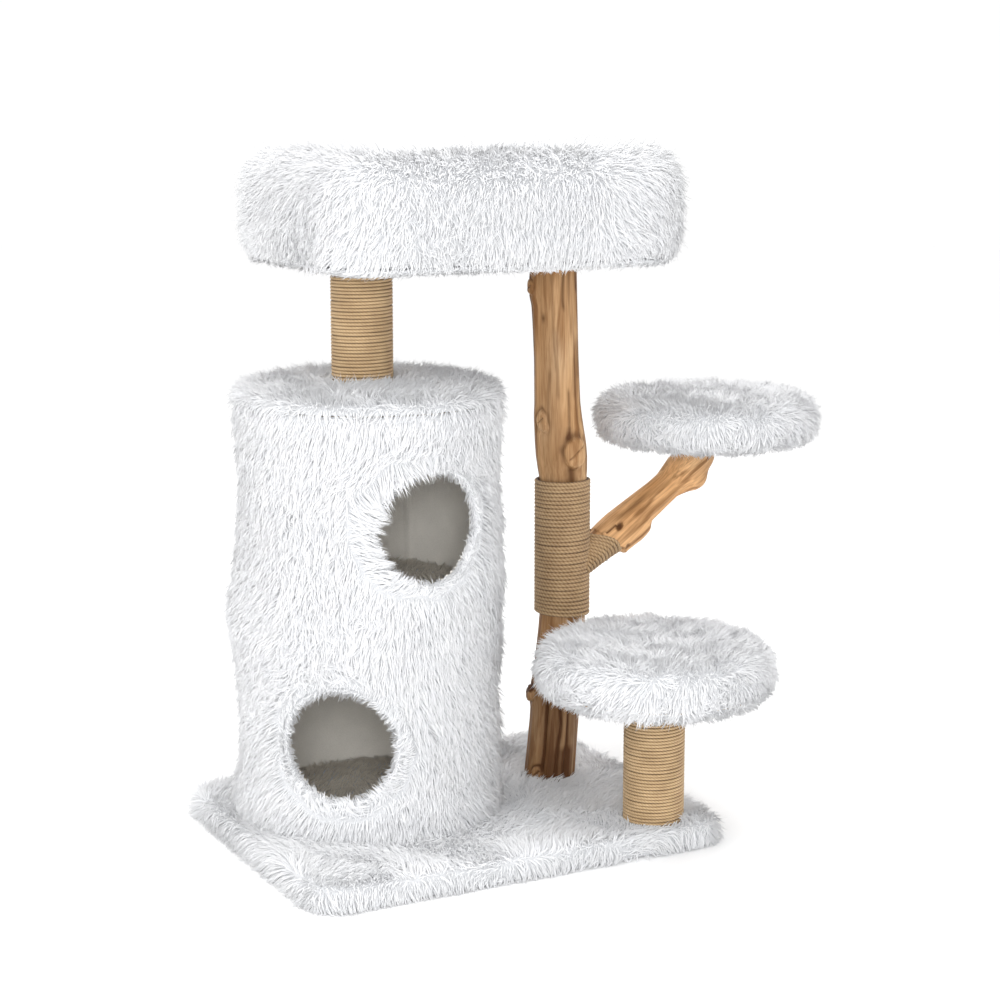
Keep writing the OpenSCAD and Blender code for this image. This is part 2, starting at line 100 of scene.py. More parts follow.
# Toward which side the pile on each door's rim is longer, and by how much
LONG_PILE = (np.array([0, 0, -12 * MM]), np.array([-32 * MM, 0, 7 * MM]))
BRANCH_ROOT = np.array([216 * MM, CONDO[1], 330 * MM])
BRANCH_TILT = math.radians(35.3)
BRANCH_AXIS = np.array([math.cos(BRANCH_TILT), 0, math.sin(BRANCH_TILT)])
BRANCH_UP = np.array([-math.sin(BRANCH_TILT), 0, math.cos(BRANCH_TILT)])

# How far the woven backing of the plush lies inside the tips of its pile
PILE = 9 * MM
# The door's rolled edge: the plush turns inward from this far out round each door
DOOR_RIM = 12 * MM
# Stands for a distance that is out of reach, in metres
FAR = 9.0
# The pile never reaches lower than this
FLOOR_GAP = 1.5 * MM

# ---- camera, light and floor ----

# The camera that was fitted to the photograph: place, side it looks from in degrees, lens in mm
CAMERA_AT = (-1.3455, -2.7013, 1.0375)
CAMERA_SIDE = (-27.8, 10.6)
CAMERA_LENS = 79.6
# The point that every lamp faces
LIT_POINT = Vector((0.1, 0.0, 0.45))
# Lamps: azimuth and elevation in degrees, distance, size, power, colour
LAMPS = {
    "front": (-28, 13, 3.4, 0.9, 38, (0.98, 0.99, 1.0)),
    "left": (-75, 35, 3.2, 1.6, 18, (1, 1, 1)),
    "top": (0, 80, 2.8, 1.8, 28, (1, 1, 1)),
    "back": (160, 35, 3.2, 1.8, 16, (1, 1, 1)),
}

def look_from(azimuth, elevation):
    """Unit vector from the object toward an eye at that azimuth and elevation, in degrees."""
    a, e = math.radians(azimuth), math.radians(elevation)
    return Vector((math.sin(a) * math.cos(e), -math.cos(a) * math.cos(e), math.sin(e)))


def make_camera():
    data = bpy.data.cameras.new("camera")
    data.lens = CAMERA_LENS
    data.sensor_width = 36
    camera = link("camera", data)
    camera.location = CAMERA_AT
    camera.rotation_mode = "QUATERNION"
    camera.rotation_quaternion = (-look_from(*CAMERA_SIDE)).to_track_quat("-Z", "Y")
    bpy.context.scene.camera = camera


def add_softbox(name, azimuth, elevation, distance, size, power, colour):
    """A square area light that faces the middle of the object."""
    data = bpy.data.lights.new(name, "AREA")
    data.shape = "SQUARE"
    data.size = size
    data.energy = power
    data.color = colour
    lamp = link(name, data)
    back = look_from(azimuth, elevation)
    lamp.location = LIT_POINT + back * distance
    lamp.rotation_mode = "QUATERNION"
    lamp.rotation_quaternion = back.to_track_quat("Z", "Y")


def make_lights():
    world = bpy.data.worlds.new("studio")
    world.use_nodes = True
    world.node_tree.nodes["Background"].inputs["Color"].default_value = (1, 1, 1, 1)
    world.node_tree.nodes["Background"].inputs["Strength"].default_value = 1.02
    bpy.context.scene.world = world
    for name, lamp in LAMPS.items():
        add_softbox(name, *lamp)


def make_floor():
    """A plain pale floor that runs on far past the edges of the view."""
    bm = bmesh.new()
    bmesh.ops.create_circle(bm, cap_ends=True, segments=96, radius=12.0)
    floor = link("studio_floor", to_mesh("studio_floor", bm))
    paint(floor, floor_material())


# ---- materials: every one is made of nodes ----


class Paint:
    """One node material with a Principled shader, and short calls to add nodes to it."""

    def __init__(self, name, roughness=0.8, **sockets):
        self.material = bpy.data.materials.new(name)
        self.material.use_nodes = True
        self.tree = self.material.node_tree
        self.shader = self.tree.nodes["Principled BSDF"]
        self.shader.inputs["Roughness"].default_value = roughness
        for socket, value in sockets.items():
            self.shader.inputs[socket.replace("_", " ")].default_value = value
        self.place = self.add("ShaderNodeTexCoord").outputs["Object"]

    def add(self, kind, **inputs):
        node = self.tree.nodes.new(kind)
        for name, value in inputs.items():
            self.feed(node.inputs[name.replace("_", " ")], value)
        return node

    def feed(self, socket, value):
        if isinstance(value, bpy.types.NodeSocket):
            self.tree.links.new(value, socket)
        else:
            socket.default_value = value

    def stretched(self, stretch, turn=(0, 0, 0)):
        """Object coordinates, turned and then scaled along each axis."""
        turned = self.add("ShaderNodeMapping", Vector=self.place, Rotation=turn)
        return self.add("ShaderNodeMapping", Vector=turned.outputs[0], Scale=stretch).outputs[0]

    def noise(self, scale, detail=3.0, place=None, distortion=0.0):
        node = self.add("ShaderNodeTexNoise", Scale=scale, Detail=detail, Distortion=distortion)
        self.feed(node.inputs["Vector"], self.place if place is None else place)
        return node.outputs["Fac"]

    def attribute(self, name):
        node = self.add("ShaderNodeAttribute")
        node.attribute_name = name
        return node.outputs["Fac"]

    def ramp(self, value, *stops):
        """Colours, or greys as one number, at places from 0 to 1 along value."""
        node = self.add("ShaderNodeValToRGB", Fac=value)
        band = node.color_ramp
        while len(band.elements) < len(stops):
            band.elements.new(0.5)
        for element, (at, colour) in zip(band.elements, stops):
            element.position = at
            element.color = (*(colour if isinstance(colour, tuple) else (colour,) * 3), 1)
        return node.outputs["Color"]

    def times(self, a, b):
        return self.blend(1.0, a, b, "MULTIPLY")

    def blend(self, share, a, b, mode="MIX"):
        node = self.tree.nodes.new("ShaderNodeMix")
        node.data_type = "RGBA"
        node.blend_type = mode
        self.feed(node.inputs[0], share)
        for socket, value in ((node.inputs[6], a), (node.inputs[7], b)):
            self.feed(socket, (*value, 1) if isinstance(value, tuple) else value)
        return node.outputs[2]

    def math(self, operation, a, b=0.0):
        node = self.tree.nodes.new("ShaderNodeMath")
        node.operation = operation
        self.feed(node.inputs[0], a)
        self.feed(node.inputs[1], b)
        return node.outputs[0]

    def colour(self, value):
        self.feed(self.shader.inputs["Base Color"], value)

    def bump(self, height, strength, distance):
        node = self.add("ShaderNodeBump", Strength=strength, Distance=distance, Height=height)
        self.feed(self.shader.inputs["Normal"], node.outputs[0])


MADE = {}


def cached(make):
    """Makes each material once."""
    def get(*args):
        key = (make.__name__, *args)
        if key not in MADE:
            MADE[key] = make(*args).material
        return MADE[key]
    return get


@cached
def floor_material():
    p = Paint("studio_floor", 0.9)
    p.colour(p.blend(p.noise(1.5), (0.985, 0.985, 0.985), (0.995, 0.995, 0.995)))
    return p


@cached
def fur_material():
    """White pile: each strand is greyer at its root, as painted shade between the tufts, and tufts
    differ a little.
    """
    p = Paint("white_pile", 0.75, Sheen_Weight=0.25, Sheen_Roughness=0.5)
    # Painted shade: the roots are greyer than the tips.
    strand = p.ramp(p.attribute("strand"), (0.0, (0.86, 0.865, 0.88)), (0.4, (0.91, 0.913, 0.922)),
                    (1.0, (0.93, 0.933, 0.942)))
    patches = p.ramp(p.noise(45, 4), (0.3, (0.955, 0.96, 0.97)), (0.65, 1.0))
    p.colour(p.times(strand, patches))
    return p


@cached
def mat_pile_material():
    """The short pile on the floors of the rooms: white plush painted grey-brown as painted shade of
    the dim rooms, and greyer at each strand's root as painted shade.
    """
    p = Paint("mat_pile", 0.85, Sheen_Weight=0.2)
    # Painted shade: grey-brown for the dim rooms, and darker still at the roots.
    strand = p.ramp(p.attribute("strand"), (0.0, (0.62, 0.555, 0.46)), (1.0, (0.92, 0.85, 0.73)))
    patches = p.ramp(p.noise(60, 4), (0.3, (0.82, 0.81, 0.80)), (0.65, 1.0))
    p.colour(p.times(strand, patches))
    return p


@cached
def backing_material():
    """The knitted backing of the plush with the roots of the pile, painted grey as painted shade at
    the roots.
    """
    p = Paint("plush_backing", 0.95, Sheen_Weight=0.2)
    fibres = p.noise(700, 3, p.stretched((1, 1, 0.25)))
    # Painted shade: grey, well below the white of the pile.
    p.colour(p.ramp(fibres, (0.3, (0.56, 0.57, 0.59)), (0.7, (0.72, 0.725, 0.735))))
    p.bump(fibres, 0.8, 1.5 * MM)
    return p


@cached
def felt_material(dark, light):
    """Needled felt: fine tangled fibres in slightly different shades."""
    p = Paint("felt", 0.95, Sheen_Weight=0.15)
    fibres = p.noise(900, 5, distortion=1.2)
    cloud = p.noise(22, 3)
    base = p.ramp(fibres, (0.32, dark), (0.68, light))
    p.colour(p.times(base, p.ramp(cloud, (0.3, 0.9), (0.7, 1.0))))
    p.bump(fibres, 0.5, 0.6 * MM)
    return p


@cached
def rope_material(name, dark, middle_tone, light):
    """Plant-fibre rope: painted shade between the strands and where the turns meet, paler where the
    strands stand proud, stray fibres.
    """
    p = Paint(name, 0.85, Sheen_Weight=0.1)
    fibres = p.noise(1100, 4, p.stretched((1, 1, 1.8)), 0.6)
    patches = p.noise(38, 3)
    # Painted shade: the darkest tone falls where relief is low, in the grooves.
    shade = p.math("ADD", p.math("MULTIPLY", p.attribute("relief"), 0.72),
                   p.math("MULTIPLY", fibres, 0.45))
    tone = p.ramp(shade, (0.2, dark), (0.55, middle_tone), (0.9, light))
    p.colour(p.times(tone, p.ramp(patches, (0.3, (0.80, 0.77, 0.74)), (0.7, 1.0))))
    p.bump(fibres, 0.6, 0.5 * MM)
    return p


@cached
def peeled_wood_material(name, turn, lift):
    """Peeled hardwood: long grain, pale sapwood, brown streaks and darker hollows, and a darkening
    per point that holds both stains and painted shade.
    """
    p = Paint(name, 0.62, Specular_IOR_Level=0.2)
    tones = [tuple(min(lift * c, 0.95) for c in tone) for tone in (
        (0.38, 0.20, 0.083), (0.52, 0.31, 0.152), (0.63, 0.425, 0.245))]
    along = p.stretched((1, 1, 0.05), turn)
    grain = p.noise(420, 5, along, 0.4)
    streaks = p.noise(75, 4, p.stretched((1, 1, 0.07), turn), 0.6)
    clouds = p.noise(16, 3, p.stretched((1, 1, 0.35), turn))
    pale = p.ramp(clouds, *zip((0.3, 0.5, 0.75), tones))
    streaked = p.blend(p.ramp(streaks, (0.48, 0.0), (0.64, 0.85)), pale,
                       (0.20, 0.085, 0.026))
    lined = p.blend(p.ramp(grain, (0.35, 0.45), (0.6, 0.0)), streaked,
                    (0.25, 0.115, 0.04))
    # Darkened toward dark brown per point: real stains and streaks, and painted shade at the
    # trunk's foot and edges and at the branch's end.
    p.colour(p.blend(p.attribute("stain_and_shade"), lined, (0.085, 0.032, 0.009)))
    p.bump(p.math("ADD", grain, p.math("MULTIPLY", streaks, 1.5)), 0.45, 0.9 * MM)
    return p


@cached
def board_material():
    """Pressed wood board: small chips in several tones."""
    p = Paint("pressed_board", 0.7)
    chips = p.add("ShaderNodeTexVoronoi", Scale=260.0)
    p.feed(chips.inputs["Vector"], p.place)
    tone = p.ramp(chips.outputs["Distance"], (0.1, (0.62, 0.45, 0.26)), (0.7, (0.42, 0.28, 0.15)))
    p.colour(p.blend(p.ramp(p.noise(500), (0.45, 0.0), (0.6, 0.5)), tone,
                     (0.70, 0.55, 0.36)))
    p.bump(p.noise(500), 0.3, 0.4 * MM)
    return p


@cached
def cardboard_material():
    """Spiral-wound paper tube: fine fibres and the slanted seam of the winding."""
    p = Paint("wound_cardboard", 0.9)
    wave = p.add("ShaderNodeTexWave", Scale=8.0, Distortion=0.4)
    p.feed(wave.inputs["Vector"], p.stretched((0.3, 0.3, 1)))
    fibres = p.noise(800, 4)
    paper = p.ramp(fibres, (0.3, (0.36, 0.24, 0.14)), (0.7, (0.50, 0.36, 0.22)))
    seam = p.ramp(wave.outputs["Fac"], (0.0, 0.8), (0.08, 1.0))
    p.colour(p.times(paper, seam))
    p.bump(fibres, 0.2, 0.3 * MM)
    return p


@cached
def foam_material():
    """Open-cell foam: pores all over."""
    p = Paint("open_foam", 0.95)
    pores = p.add("ShaderNodeTexVoronoi", Scale=700.0)
    p.feed(pores.inputs["Vector"], p.place)
    p.colour(p.ramp(pores.outputs["Distance"], (0.1, (0.62, 0.55, 0.30)),
                    (0.6, (0.85, 0.79, 0.55))))
    p.bump(pores.outputs["Distance"], 0.5, 0.8 * MM)
    return p


@cached
def zinc_material(tint):
    """Zinc-plated steel: a soft metal shine with spangle and small scratches."""
    p = Paint("zinc_plate", 0.4, Metallic=1.0)
    spangle = p.noise(350, 4)
    p.colour(p.blend(spangle, tuple(0.8 * c for c in tint), tint))
    rough = p.math("ADD", 0.28, p.math("MULTIPLY", p.noise(900, 2, p.stretched((1, 6, 1))), 0.25))
    p.feed(p.shader.inputs["Roughness"], rough)
    p.bump(spangle, 0.15, 0.2 * MM)
    return p


def paint(piece, material):
    piece.data.materials.clear()
    piece.data.materials.append(material)


# ---- mesh tools ----

# The cloth simulation that swells a pad: its pressure, and for how many frames it runs
PUFF_PRESSURE = 4.0
PUFF_FRAMES = 20


def to_mesh(name, bm):
    mesh = bpy.data.meshes.new(name)
    bm.normal_update()
    bm.to_mesh(mesh)
    bm.free()
    return mesh


def raw_mesh(name, points, faces):
    mesh = bpy.data.meshes.new(name)
    mesh.from_pydata(np.asarray(points).tolist(), [], faces)
    return mesh


def edit_mesh(mesh, change):
    """Runs change on the mesh as a bmesh, and stores the result."""
    bm = bmesh.new()
    bm.from_mesh(mesh)
    change(bm)
    bm.to_mesh(mesh)
    bm.free()


def drop_loose(bm):
    bmesh.ops.delete(bm, geom=[v for v in bm.verts if not v.link_faces], context="VERTS")


def link(name, data, smooth=False):
    """Puts new data, such as a mesh, a camera or a lamp, into the scene."""
    piece = bpy.data.objects.new(name, data)
    bpy.context.scene.collection.objects.link(piece)
    if smooth:
        data.shade_smooth()
    return piece


def closed_skin(name, points, rows, columns, smooth=True):
    """A skin over rings of points stored one after the other, closed by a face at each end."""
    faces = grid_faces(rows, columns).tolist()
    faces.append(list(range(columns))[::-1])
    faces.append([(rows - 1) * columns + i for i in range(columns)])
    return link(name, raw_mesh(name, points, faces), smooth)


def points_of(mesh, field="co"):
    values = np.empty(len(mesh.vertices) * 3, np.float32)
    mesh.vertices.foreach_get(field, values)
    return values.reshape(-1, 3).astype(float)


def normals_of(mesh):
    return points_of(mesh, "normal")


def set_points(mesh, co):
    mesh.vertices.foreach_set("co", np.asarray(co, np.float32).ravel())
    mesh.update()


def set_value(mesh, name, values):
    """Stores one number for each vertex, for a material to read."""
    attribute = mesh.attributes.new(name, "FLOAT", "POINT")
    attribute.data.foreach_set("value", np.asarray(values, np.float32))


def unit(v):
    return v / np.maximum(np.linalg.norm(v, axis=-1, keepdims=True), 1e-9)


def soft_noise(p, size, seed, count=10):
    """Smooth random values from about -1 to 1 at points p, with features of that size."""
    rng = np.random.default_rng(seed)
    waves = rng.normal(size=(count, 3)) / size * 1.6
    phases = rng.random(count) * TURN
    return np.sin(p @ waves.T + phases).sum(1) / math.sqrt(count / 2) * 0.75


def soft_vectors(p, size, seed):
    return np.stack([soft_noise(p, size, seed + k) for k in range(3)], axis=-1)


def grid(rows, columns):
    """Every pair of a value from rows and a value from columns, row by row."""
    return [values.ravel() for values in np.meshgrid(rows, columns, indexing="ij")]


def compass(angle, z=0.0):
    """Points on the unit circle at those angles, at height z."""
    return np.stack([np.cos(angle), np.sin(angle), z + 0 * angle], axis=-1)


def part(values):
    """Values held between 0 and 1."""
    return np.clip(values, 0, 1)


def bell(distance, width):
    """1 at no distance, and falling off smoothly over that width."""
    return np.exp(-(distance / width) ** 2)


def grid_faces(rows, columns):
    """Quads over rings of points stored one after the other."""
    r, c = grid(np.arange(rows - 1), np.arange(columns))
    n = (c + 1) % columns
    return np.stack([r * columns + c, r * columns + n, (r + 1) * columns + n,
                     (r + 1) * columns + c], axis=-1)


def lathe(name, profile, centre, sides=128):
    """A closed skin turned round an upright axis through centre; profile is (radius, height)."""
    angle = np.linspace(0, TURN, sides, endpoint=False)
    ring = np.stack([np.cos(angle), np.sin(angle)], axis=-1)
    points = [[centre[0] + r * x, centre[1] + r * y, z] for r, z in profile for x, y in ring]
    return closed_skin(name, points, len(profile), sides)


def round_rectangle(length, width, corner, spacing):
    """Evenly spaced points and outward normals along a rectangle with round corners."""
    half_l, half_w = length / 2 - corner, width / 2 - corner
    points, normals = [], []
    for k, (sx, sy) in enumerate(((1, 1), (-1, 1), (-1, -1), (1, -1))):
        start = k * math.pi / 2
        steps = max(4, round(corner * math.pi / 2 / spacing))
        for a in np.linspace(start, start + math.pi / 2, steps + 1):
            points.append((sx * half_l + corner * math.cos(a), sy * half_w + corner * math.sin(a)))
            normals.append((math.cos(a), math.sin(a)))
        side = 2 * (half_l if k % 2 == 0 else half_w)
        steps = max(2, round(side / spacing))
        turn = start + math.pi / 2
        along = (-math.sin(turn), math.cos(turn))
        x, y = points[-1]
        for i in range(1, steps):
            points.append((x + along[0] * side * i / steps, y + along[1] * side * i / steps))
            normals.append((math.cos(turn), math.sin(turn)))
    return np.array(points), np.array(normals)


def slab_skin(name, length, width, corner, rings, centre, spacing=8 * MM):
    """A closed skin over a rectangle with round corners; rings is (inset, height), upward."""
    outline, outward = round_rectangle(length, width, corner, spacing)
    points = []
    for inset, z in rings:
        pulled = outline - outward * min(inset, corner - 4 * MM)
        extra = max(0.0, inset - (corner - 4 * MM))
        if extra:
            half = np.array([length / 2 - inset, width / 2 - inset])
            core = np.array([length / 2 - corner + 4 * MM, width / 2 - corner + 4 * MM])
            pulled = pulled * (half / core)
        points += [[centre[0] + x, centre[1] + y, z] for x, y in pulled]
    return closed_skin(name, points, len(rings), len(outline))


def modify(piece, kind, **settings):
    """Applies one modifier with these settings to a piece."""
    modifier = piece.modifiers.new(kind, kind)
    for name, value in settings.items():
        setattr(modifier, name, value)
    depsgraph = bpy.context.evaluated_depsgraph_get()
    mesh = bpy.data.meshes.new_from_object(piece.evaluated_get(depsgraph))
    piece.modifiers.clear()
    old, piece.data = piece.data, mesh
    bpy.data.meshes.remove(old)
    mesh.shade_smooth()


def puff(piece, voxel, cap, held):
    """Swells a padded piece with a short cloth simulation; no point moves further than cap.

    The points that held picks stay where they are.
    """
    modify(piece, "REMESH", mode="VOXEL", voxel_size=voxel)
    start = points_of(piece.data)
    group = piece.vertex_groups.new(name="held")
    group.add([int(i) for i in np.flatnonzero(held(start))], 1.0, "REPLACE")
    cloth = piece.modifiers.new("cloth", "CLOTH").settings
    cloth.quality = 5
    cloth.use_pressure = True
    cloth.uniform_pressure_force = PUFF_PRESSURE
    cloth.effector_weights.gravity = 0
    cloth.vertex_group_mass = "held"
    scene = bpy.context.scene
    for number in range(1, PUFF_FRAMES + 1):
        scene.frame_set(number)
    evaluated = piece.evaluated_get(bpy.context.evaluated_depsgraph_get())
    end = points_of(evaluated.data)
    piece.modifiers.clear()
    scene.frame_set(1)
    move = end - start
    length = np.linalg.norm(move, axis=1, keepdims=True)
    set_points(piece.data, start + move * np.minimum(1, cap / np.maximum(length, 1e-9)))
    piece.data.shade_smooth()


def add_piece(piece, material, slot, *nodes):
    """Gives a finished piece its material and its body, and hides the CAD nodes it stands for; slot
    is not used.
    """
    paint(piece, material)
    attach(piece, "root")
    if nodes:
        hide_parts(*nodes)
    return piece


# ---- fur ----

# The most tufts in one piece
TUFTS_IN_PIECE = 21500
# Size of the clumps that tufts are drawn into, how strongly, and how much directions vary
CLUMP = 11 * MM
PULL = 0.4
WILD = 0.18
# Share of tufts that stray from their clump
STRAYS = 0.08


def scatter(piece, spacing, seed, keep):
    """Points spread evenly over a mesh, and the smooth normals there, where keep is true."""
    mesh = piece.data
    mesh.calc_loop_triangles()
    corners = np.empty(len(mesh.loop_triangles) * 3, np.int32)
    mesh.loop_triangles.foreach_get("vertices", corners)
    corners = corners.reshape(-1, 3)
    co, no = points_of(mesh), normals_of(mesh)
    a, b, c = co[corners[:, 0]], co[corners[:, 1]], co[corners[:, 2]]
    area = np.linalg.norm(np.cross(b - a, c - a), axis=1) / 2
    rng = np.random.default_rng(seed)
    count = int(area.sum() / spacing ** 2 * 2.5)
    picks = (np.arange(count) + rng.random(count)) / count * area.sum()
    face = np.minimum(np.searchsorted(np.cumsum(area), picks), len(area) - 1)
    u, v = rng.random(count), rng.random(count)
    flip = u + v > 1
    u, v = np.where(flip, 1 - u, u), np.where(flip, 1 - v, v)
    share = np.stack([1 - u - v, u, v], axis=-1)[:, :, None]
    points = (co[corners[face]] * share).sum(1)
    normals = unit((no[corners[face]] * share).sum(1))
    order = rng.permutation(count)
    points, normals = points[order], normals[order]
    cells = np.floor(points / spacing).astype(np.int64)
    _, first = np.unique(cells, axis=0, return_index=True)
    kept = first[keep(points[first], normals[first])]
    return points[kept], normals[kept]


def clump_pull(points, size, seed):
    """For each point, the way to the middle of its clump, and a number of that clump."""
    rng = np.random.default_rng(seed)
    cells = np.floor((points + rng.random(3) * size) / size).astype(np.int64)
    _, first = np.unique(cells, axis=0, return_index=True)
    tree = kdtree.KDTree(len(first))
    for k, i in enumerate(first):
        tree.insert(points[i], k)
    tree.balance()
    nearest = np.array([tree.find(p)[1] for p in points])
    return points[first][nearest] - points, nearest


def grow(name, points, normals, comb, length, lean, width, seed):
    """One mesh of curved tapering tufts, combed along the vectors comb and drawn into clumps."""
    rng = np.random.default_rng(seed)
    count = len(points)
    to_clump, clump_of = clump_pull(points, CLUMP, seed + 1)
    clumps = clump_of.max() + 1
    clump_turn = rng.normal(size=(clumps, 3))[clump_of]
    clump_size = rng.uniform(0.86, 1.14, clumps)[clump_of]
    comb = comb + WILD * clump_turn + 0.5 * WILD * rng.normal(size=(count, 3))
    flat = unit(comb - (comb * normals).sum(1, keepdims=True) * normals)
    lean = np.radians(np.clip(lean + rng.normal(0, 6, count) + 4 * clump_turn[:, 0], 3, 84))
    length = length * clump_size * rng.uniform(0.75, 1.12, count)
    stray = rng.random(count) < STRAYS
    lean = np.where(stray, lean * 0.6, lean)
    length = np.where(stray, length * 1.12, length)
    width = np.where(stray, 0.6, rng.uniform(0.8, 1.2, count)) * width

    def heading(angle):
        return normals * np.cos(angle)[:, None] + flat * np.sin(angle)[:, None]

    low, high = heading(lean * 0.7), heading(np.minimum(lean * 1.25, math.radians(88)))
    pull = PULL * np.where(stray, 0.2, 1.0)[:, None]
    root = points - normals * 1.2 * MM
    mid = root + low * (length * 0.52)[:, None] + to_clump * 0.45 * pull
    tip = mid + high * (length * 0.5)[:, None] + to_clump * 0.5 * pull
    for end in (mid, tip):
        end[:, 2] = np.maximum(end[:, 2], FLOOR_GAP)
    side = unit(np.cross(flat, normals))
    ahead = unit(np.cross(side, low))
    spin = rng.random(count) * TURN
    rings = []
    for at, thick in ((root, 1.0), (mid, 0.72)):
        for k in range(3):
            a = spin + k * TURN / 3
            out = side * np.cos(a)[:, None] + ahead * np.sin(a)[:, None]
            rings.append(at + out * (width * thick)[:, None])
    verts = np.stack([*rings, tip], axis=1).reshape(-1, 3)
    quads = np.array([[0, 3, 4, 1], [1, 4, 5, 2], [2, 5, 3, 0]])
    tris = np.array([[4, 3, 6], [5, 4, 6], [3, 5, 6]])
    base = np.arange(count)[:, None] * 7
    corners = np.concatenate([quads.ravel()[None] + base, tris.ravel()[None] + base], axis=1)
    starts = np.array([0, 4, 8, 12, 15, 18])[None] + np.arange(count)[:, None] * 21
    mesh = bpy.data.meshes.new(name)
    mesh.vertices.add(len(verts))
    mesh.vertices.foreach_set("co", verts.astype(np.float32).ravel())
    mesh.loops.add(corners.size)
    mesh.loops.foreach_set("vertex_index", corners.astype(np.int32).ravel())
    mesh.polygons.add(starts.size)
    mesh.polygons.foreach_set("loop_start", starts.astype(np.int32).ravel())
    mesh.update(calc_edges=True)
    # 0 at each tuft's root and 1 at its tip; the pile's materials paint shade at the roots from it.
    set_value(mesh, "strand", np.tile([0, 0, 0, 0.55, 0.55, 0.55, 1.0], count))
    piece = link(name, mesh, smooth=True)
    soft = normals_of(mesh) * 0.5 + np.repeat(unit(normals + 0.2 * low), 7, axis=0)
    mesh.normals_split_custom_set_from_vertices(unit(soft).tolist())
    return piece


def fur(name, points, normals, comb, length, lean, seed, slot="plush", pile=fur_material,
        width=0.95 * MM):
    """Grows fur in as many pieces of even size as it needs."""
    parts = math.ceil(len(points) / TUFTS_IN_PIECE)
    x, y = points[:, 0], points[:, 1]
    order = np.argsort(np.arctan2(y - y.mean(), x - x.mean()))
    lengths = np.broadcast_to(length, len(points))
    leans = np.broadcast_to(lean, len(points))
    for k, chosen in enumerate(np.array_split(order, parts)):
        label = name if parts == 1 else f"{name}_{k + 1}"
        piece = grow(label, points[chosen], normals[chosen], comb[chosen], lengths[chosen],
                     leans[chosen], width, seed)
        add_piece(piece, pile(), slot)


def clear_of(points, centre, radius):
    return np.linalg.norm(points[:, :2] - centre[:2], axis=1) > radius


def crown_comb(points, centre, radius, seed):
    """Pile on a round top: tousled in the middle and combed outward toward the edge."""
    gap = np.linalg.norm(points[:, :2] - centre[:2], axis=1, keepdims=True) / radius
    loose = soft_vectors(points, 26 * MM, seed) + np.array([-0.25, -0.5, 0])
    return outward_from(points, centre) * 0.8 * gap ** 3 + loose * (1 - 0.6 * gap ** 3)


def outward_from(points, centre):
    """Unit vectors in plan, away from an upright axis."""
    away = points - centre
    away[:, 2] = 0
    return unit(away)


# ---- base ----


def make_base():
    length, width = plan("base_plush")
    corner = 47 * MM
    top = PLUSH_TOP - PILE
    wall = [(PILE, 14 * MM), (PILE, top - 8 * MM), (PILE + 2.5 * MM, top - 3 * MM),
            (PILE + 8 * MM, top)]
    rings = [(47 * MM, 3.1 * MM), (46 * MM, 0.6 * MM), (PILE + 6 * MM, 0.4 * MM),
             (PILE + 2 * MM, 1.6 * MM), (PILE, 5 * MM), *wall, (PILE + 24 * MM, top + 0.5 * MM)]
    body = slab_skin("base_cover", length, width, corner, rings, BASE)
    co = points_of(body.data)
    wave = soft_noise(co, 60 * MM, 3) * 1.4 * MM
    high_up = part((co[:, 2] - 8 * MM) / (10 * MM))
    co[:, 2] += wave * high_up
    set_points(body.data, co)
    add_piece(body, backing_material(), "plush", "base_plush")

    points, normals = scatter(
        base_surface(length, width, corner, wall), 3.3 * MM, 11, lambda p, n: (
            clear_of(p, CONDO, TUBE_R + 6 * MM) & clear_of(p, LOWER_POST, POST_R + 1 * MM)
            & clear_of(p, TRUNK_FOOT, 38 * MM) & (p[:, 2] > 3 * MM)))
    side = 1 - part(normals[:, 2])
    swirl = soft_vectors(points, 70 * MM, 21)
    away = outward_from(points, BASE)
    drop = -UP * (1.1 * side)[:, None]
    comb = 0.7 * away * (1 - side)[:, None] + swirl + drop
    left = part(-normals[:, 0])
    lean = 50 + (6 - 6 * left) * side
    fur("base_fur", points, normals, comb, (21 + 5 * left) * MM, lean, seed=31)


def base_surface(length, width, corner, wall):
    """The part of the base's cover that carries long pile, as its own helper mesh."""
    helper = slab_skin("helper", length, width, corner, [(PILE, 4 * MM), *wall], BASE)

    def drop_bottom(bm):
        bottom = [f for f in bm.faces
                  if f.calc_center_median().z < 4.1 * MM and abs(f.normal.z) > 0.9]
        bmesh.ops.delete(bm, geom=bottom, context="FACES")

    edit_mesh(helper.data, drop_bottom)
    bpy.context.scene.collection.objects.unlink(helper)
    return helper


def make_base_felt():
    """The felt panel under the base: a thin sheet, cut round the lower post and the trunk."""
    length, width = (side - 2 * MM for side in plan("base_liner"))
    rings = [(14 * MM, 0.5 * MM), (6 * MM, 0.2 * MM), (1.5 * MM, 0.4 * MM), (0.2 * MM, 1.2 * MM),
             (0.0, 2.9 * MM)]
    sheet = slab_skin("base_felt", length, width, 34 * MM, rings, BASE)
    for centre, radius in ((LOWER_POST, 12.5 * MM), (TRUNK_FOOT, 12.5 * MM)):
        cut_hole(sheet, centre, radius)
    add_piece(sheet, felt_material((0.05, 0.05, 0.055), (0.12, 0.12, 0.13)), "liner", "base_liner")


def cut_hole(piece, centre, radius):
    """Cuts an upright round hole through a thin piece."""
    reach = 20 * MM
    cutter = lathe("cutter", [(radius, centre[2] - reach), (radius, centre[2] + reach)], centre, 32)
    modify(piece, "BOOLEAN", operation="DIFFERENCE", object=cutter)
    bpy.data.objects.remove(cutter)


# ---- condo ----


def door_frame(door):
    """A door's height, the unit vectors outward through it and sideways along the wall."""
    height, turn = door
    outward = np.array([math.sin(turn), -math.cos(turn), 0.0])
    sideways = np.array([math.cos(turn), math.sin(turn), 0.0])
    return height, outward, sideways


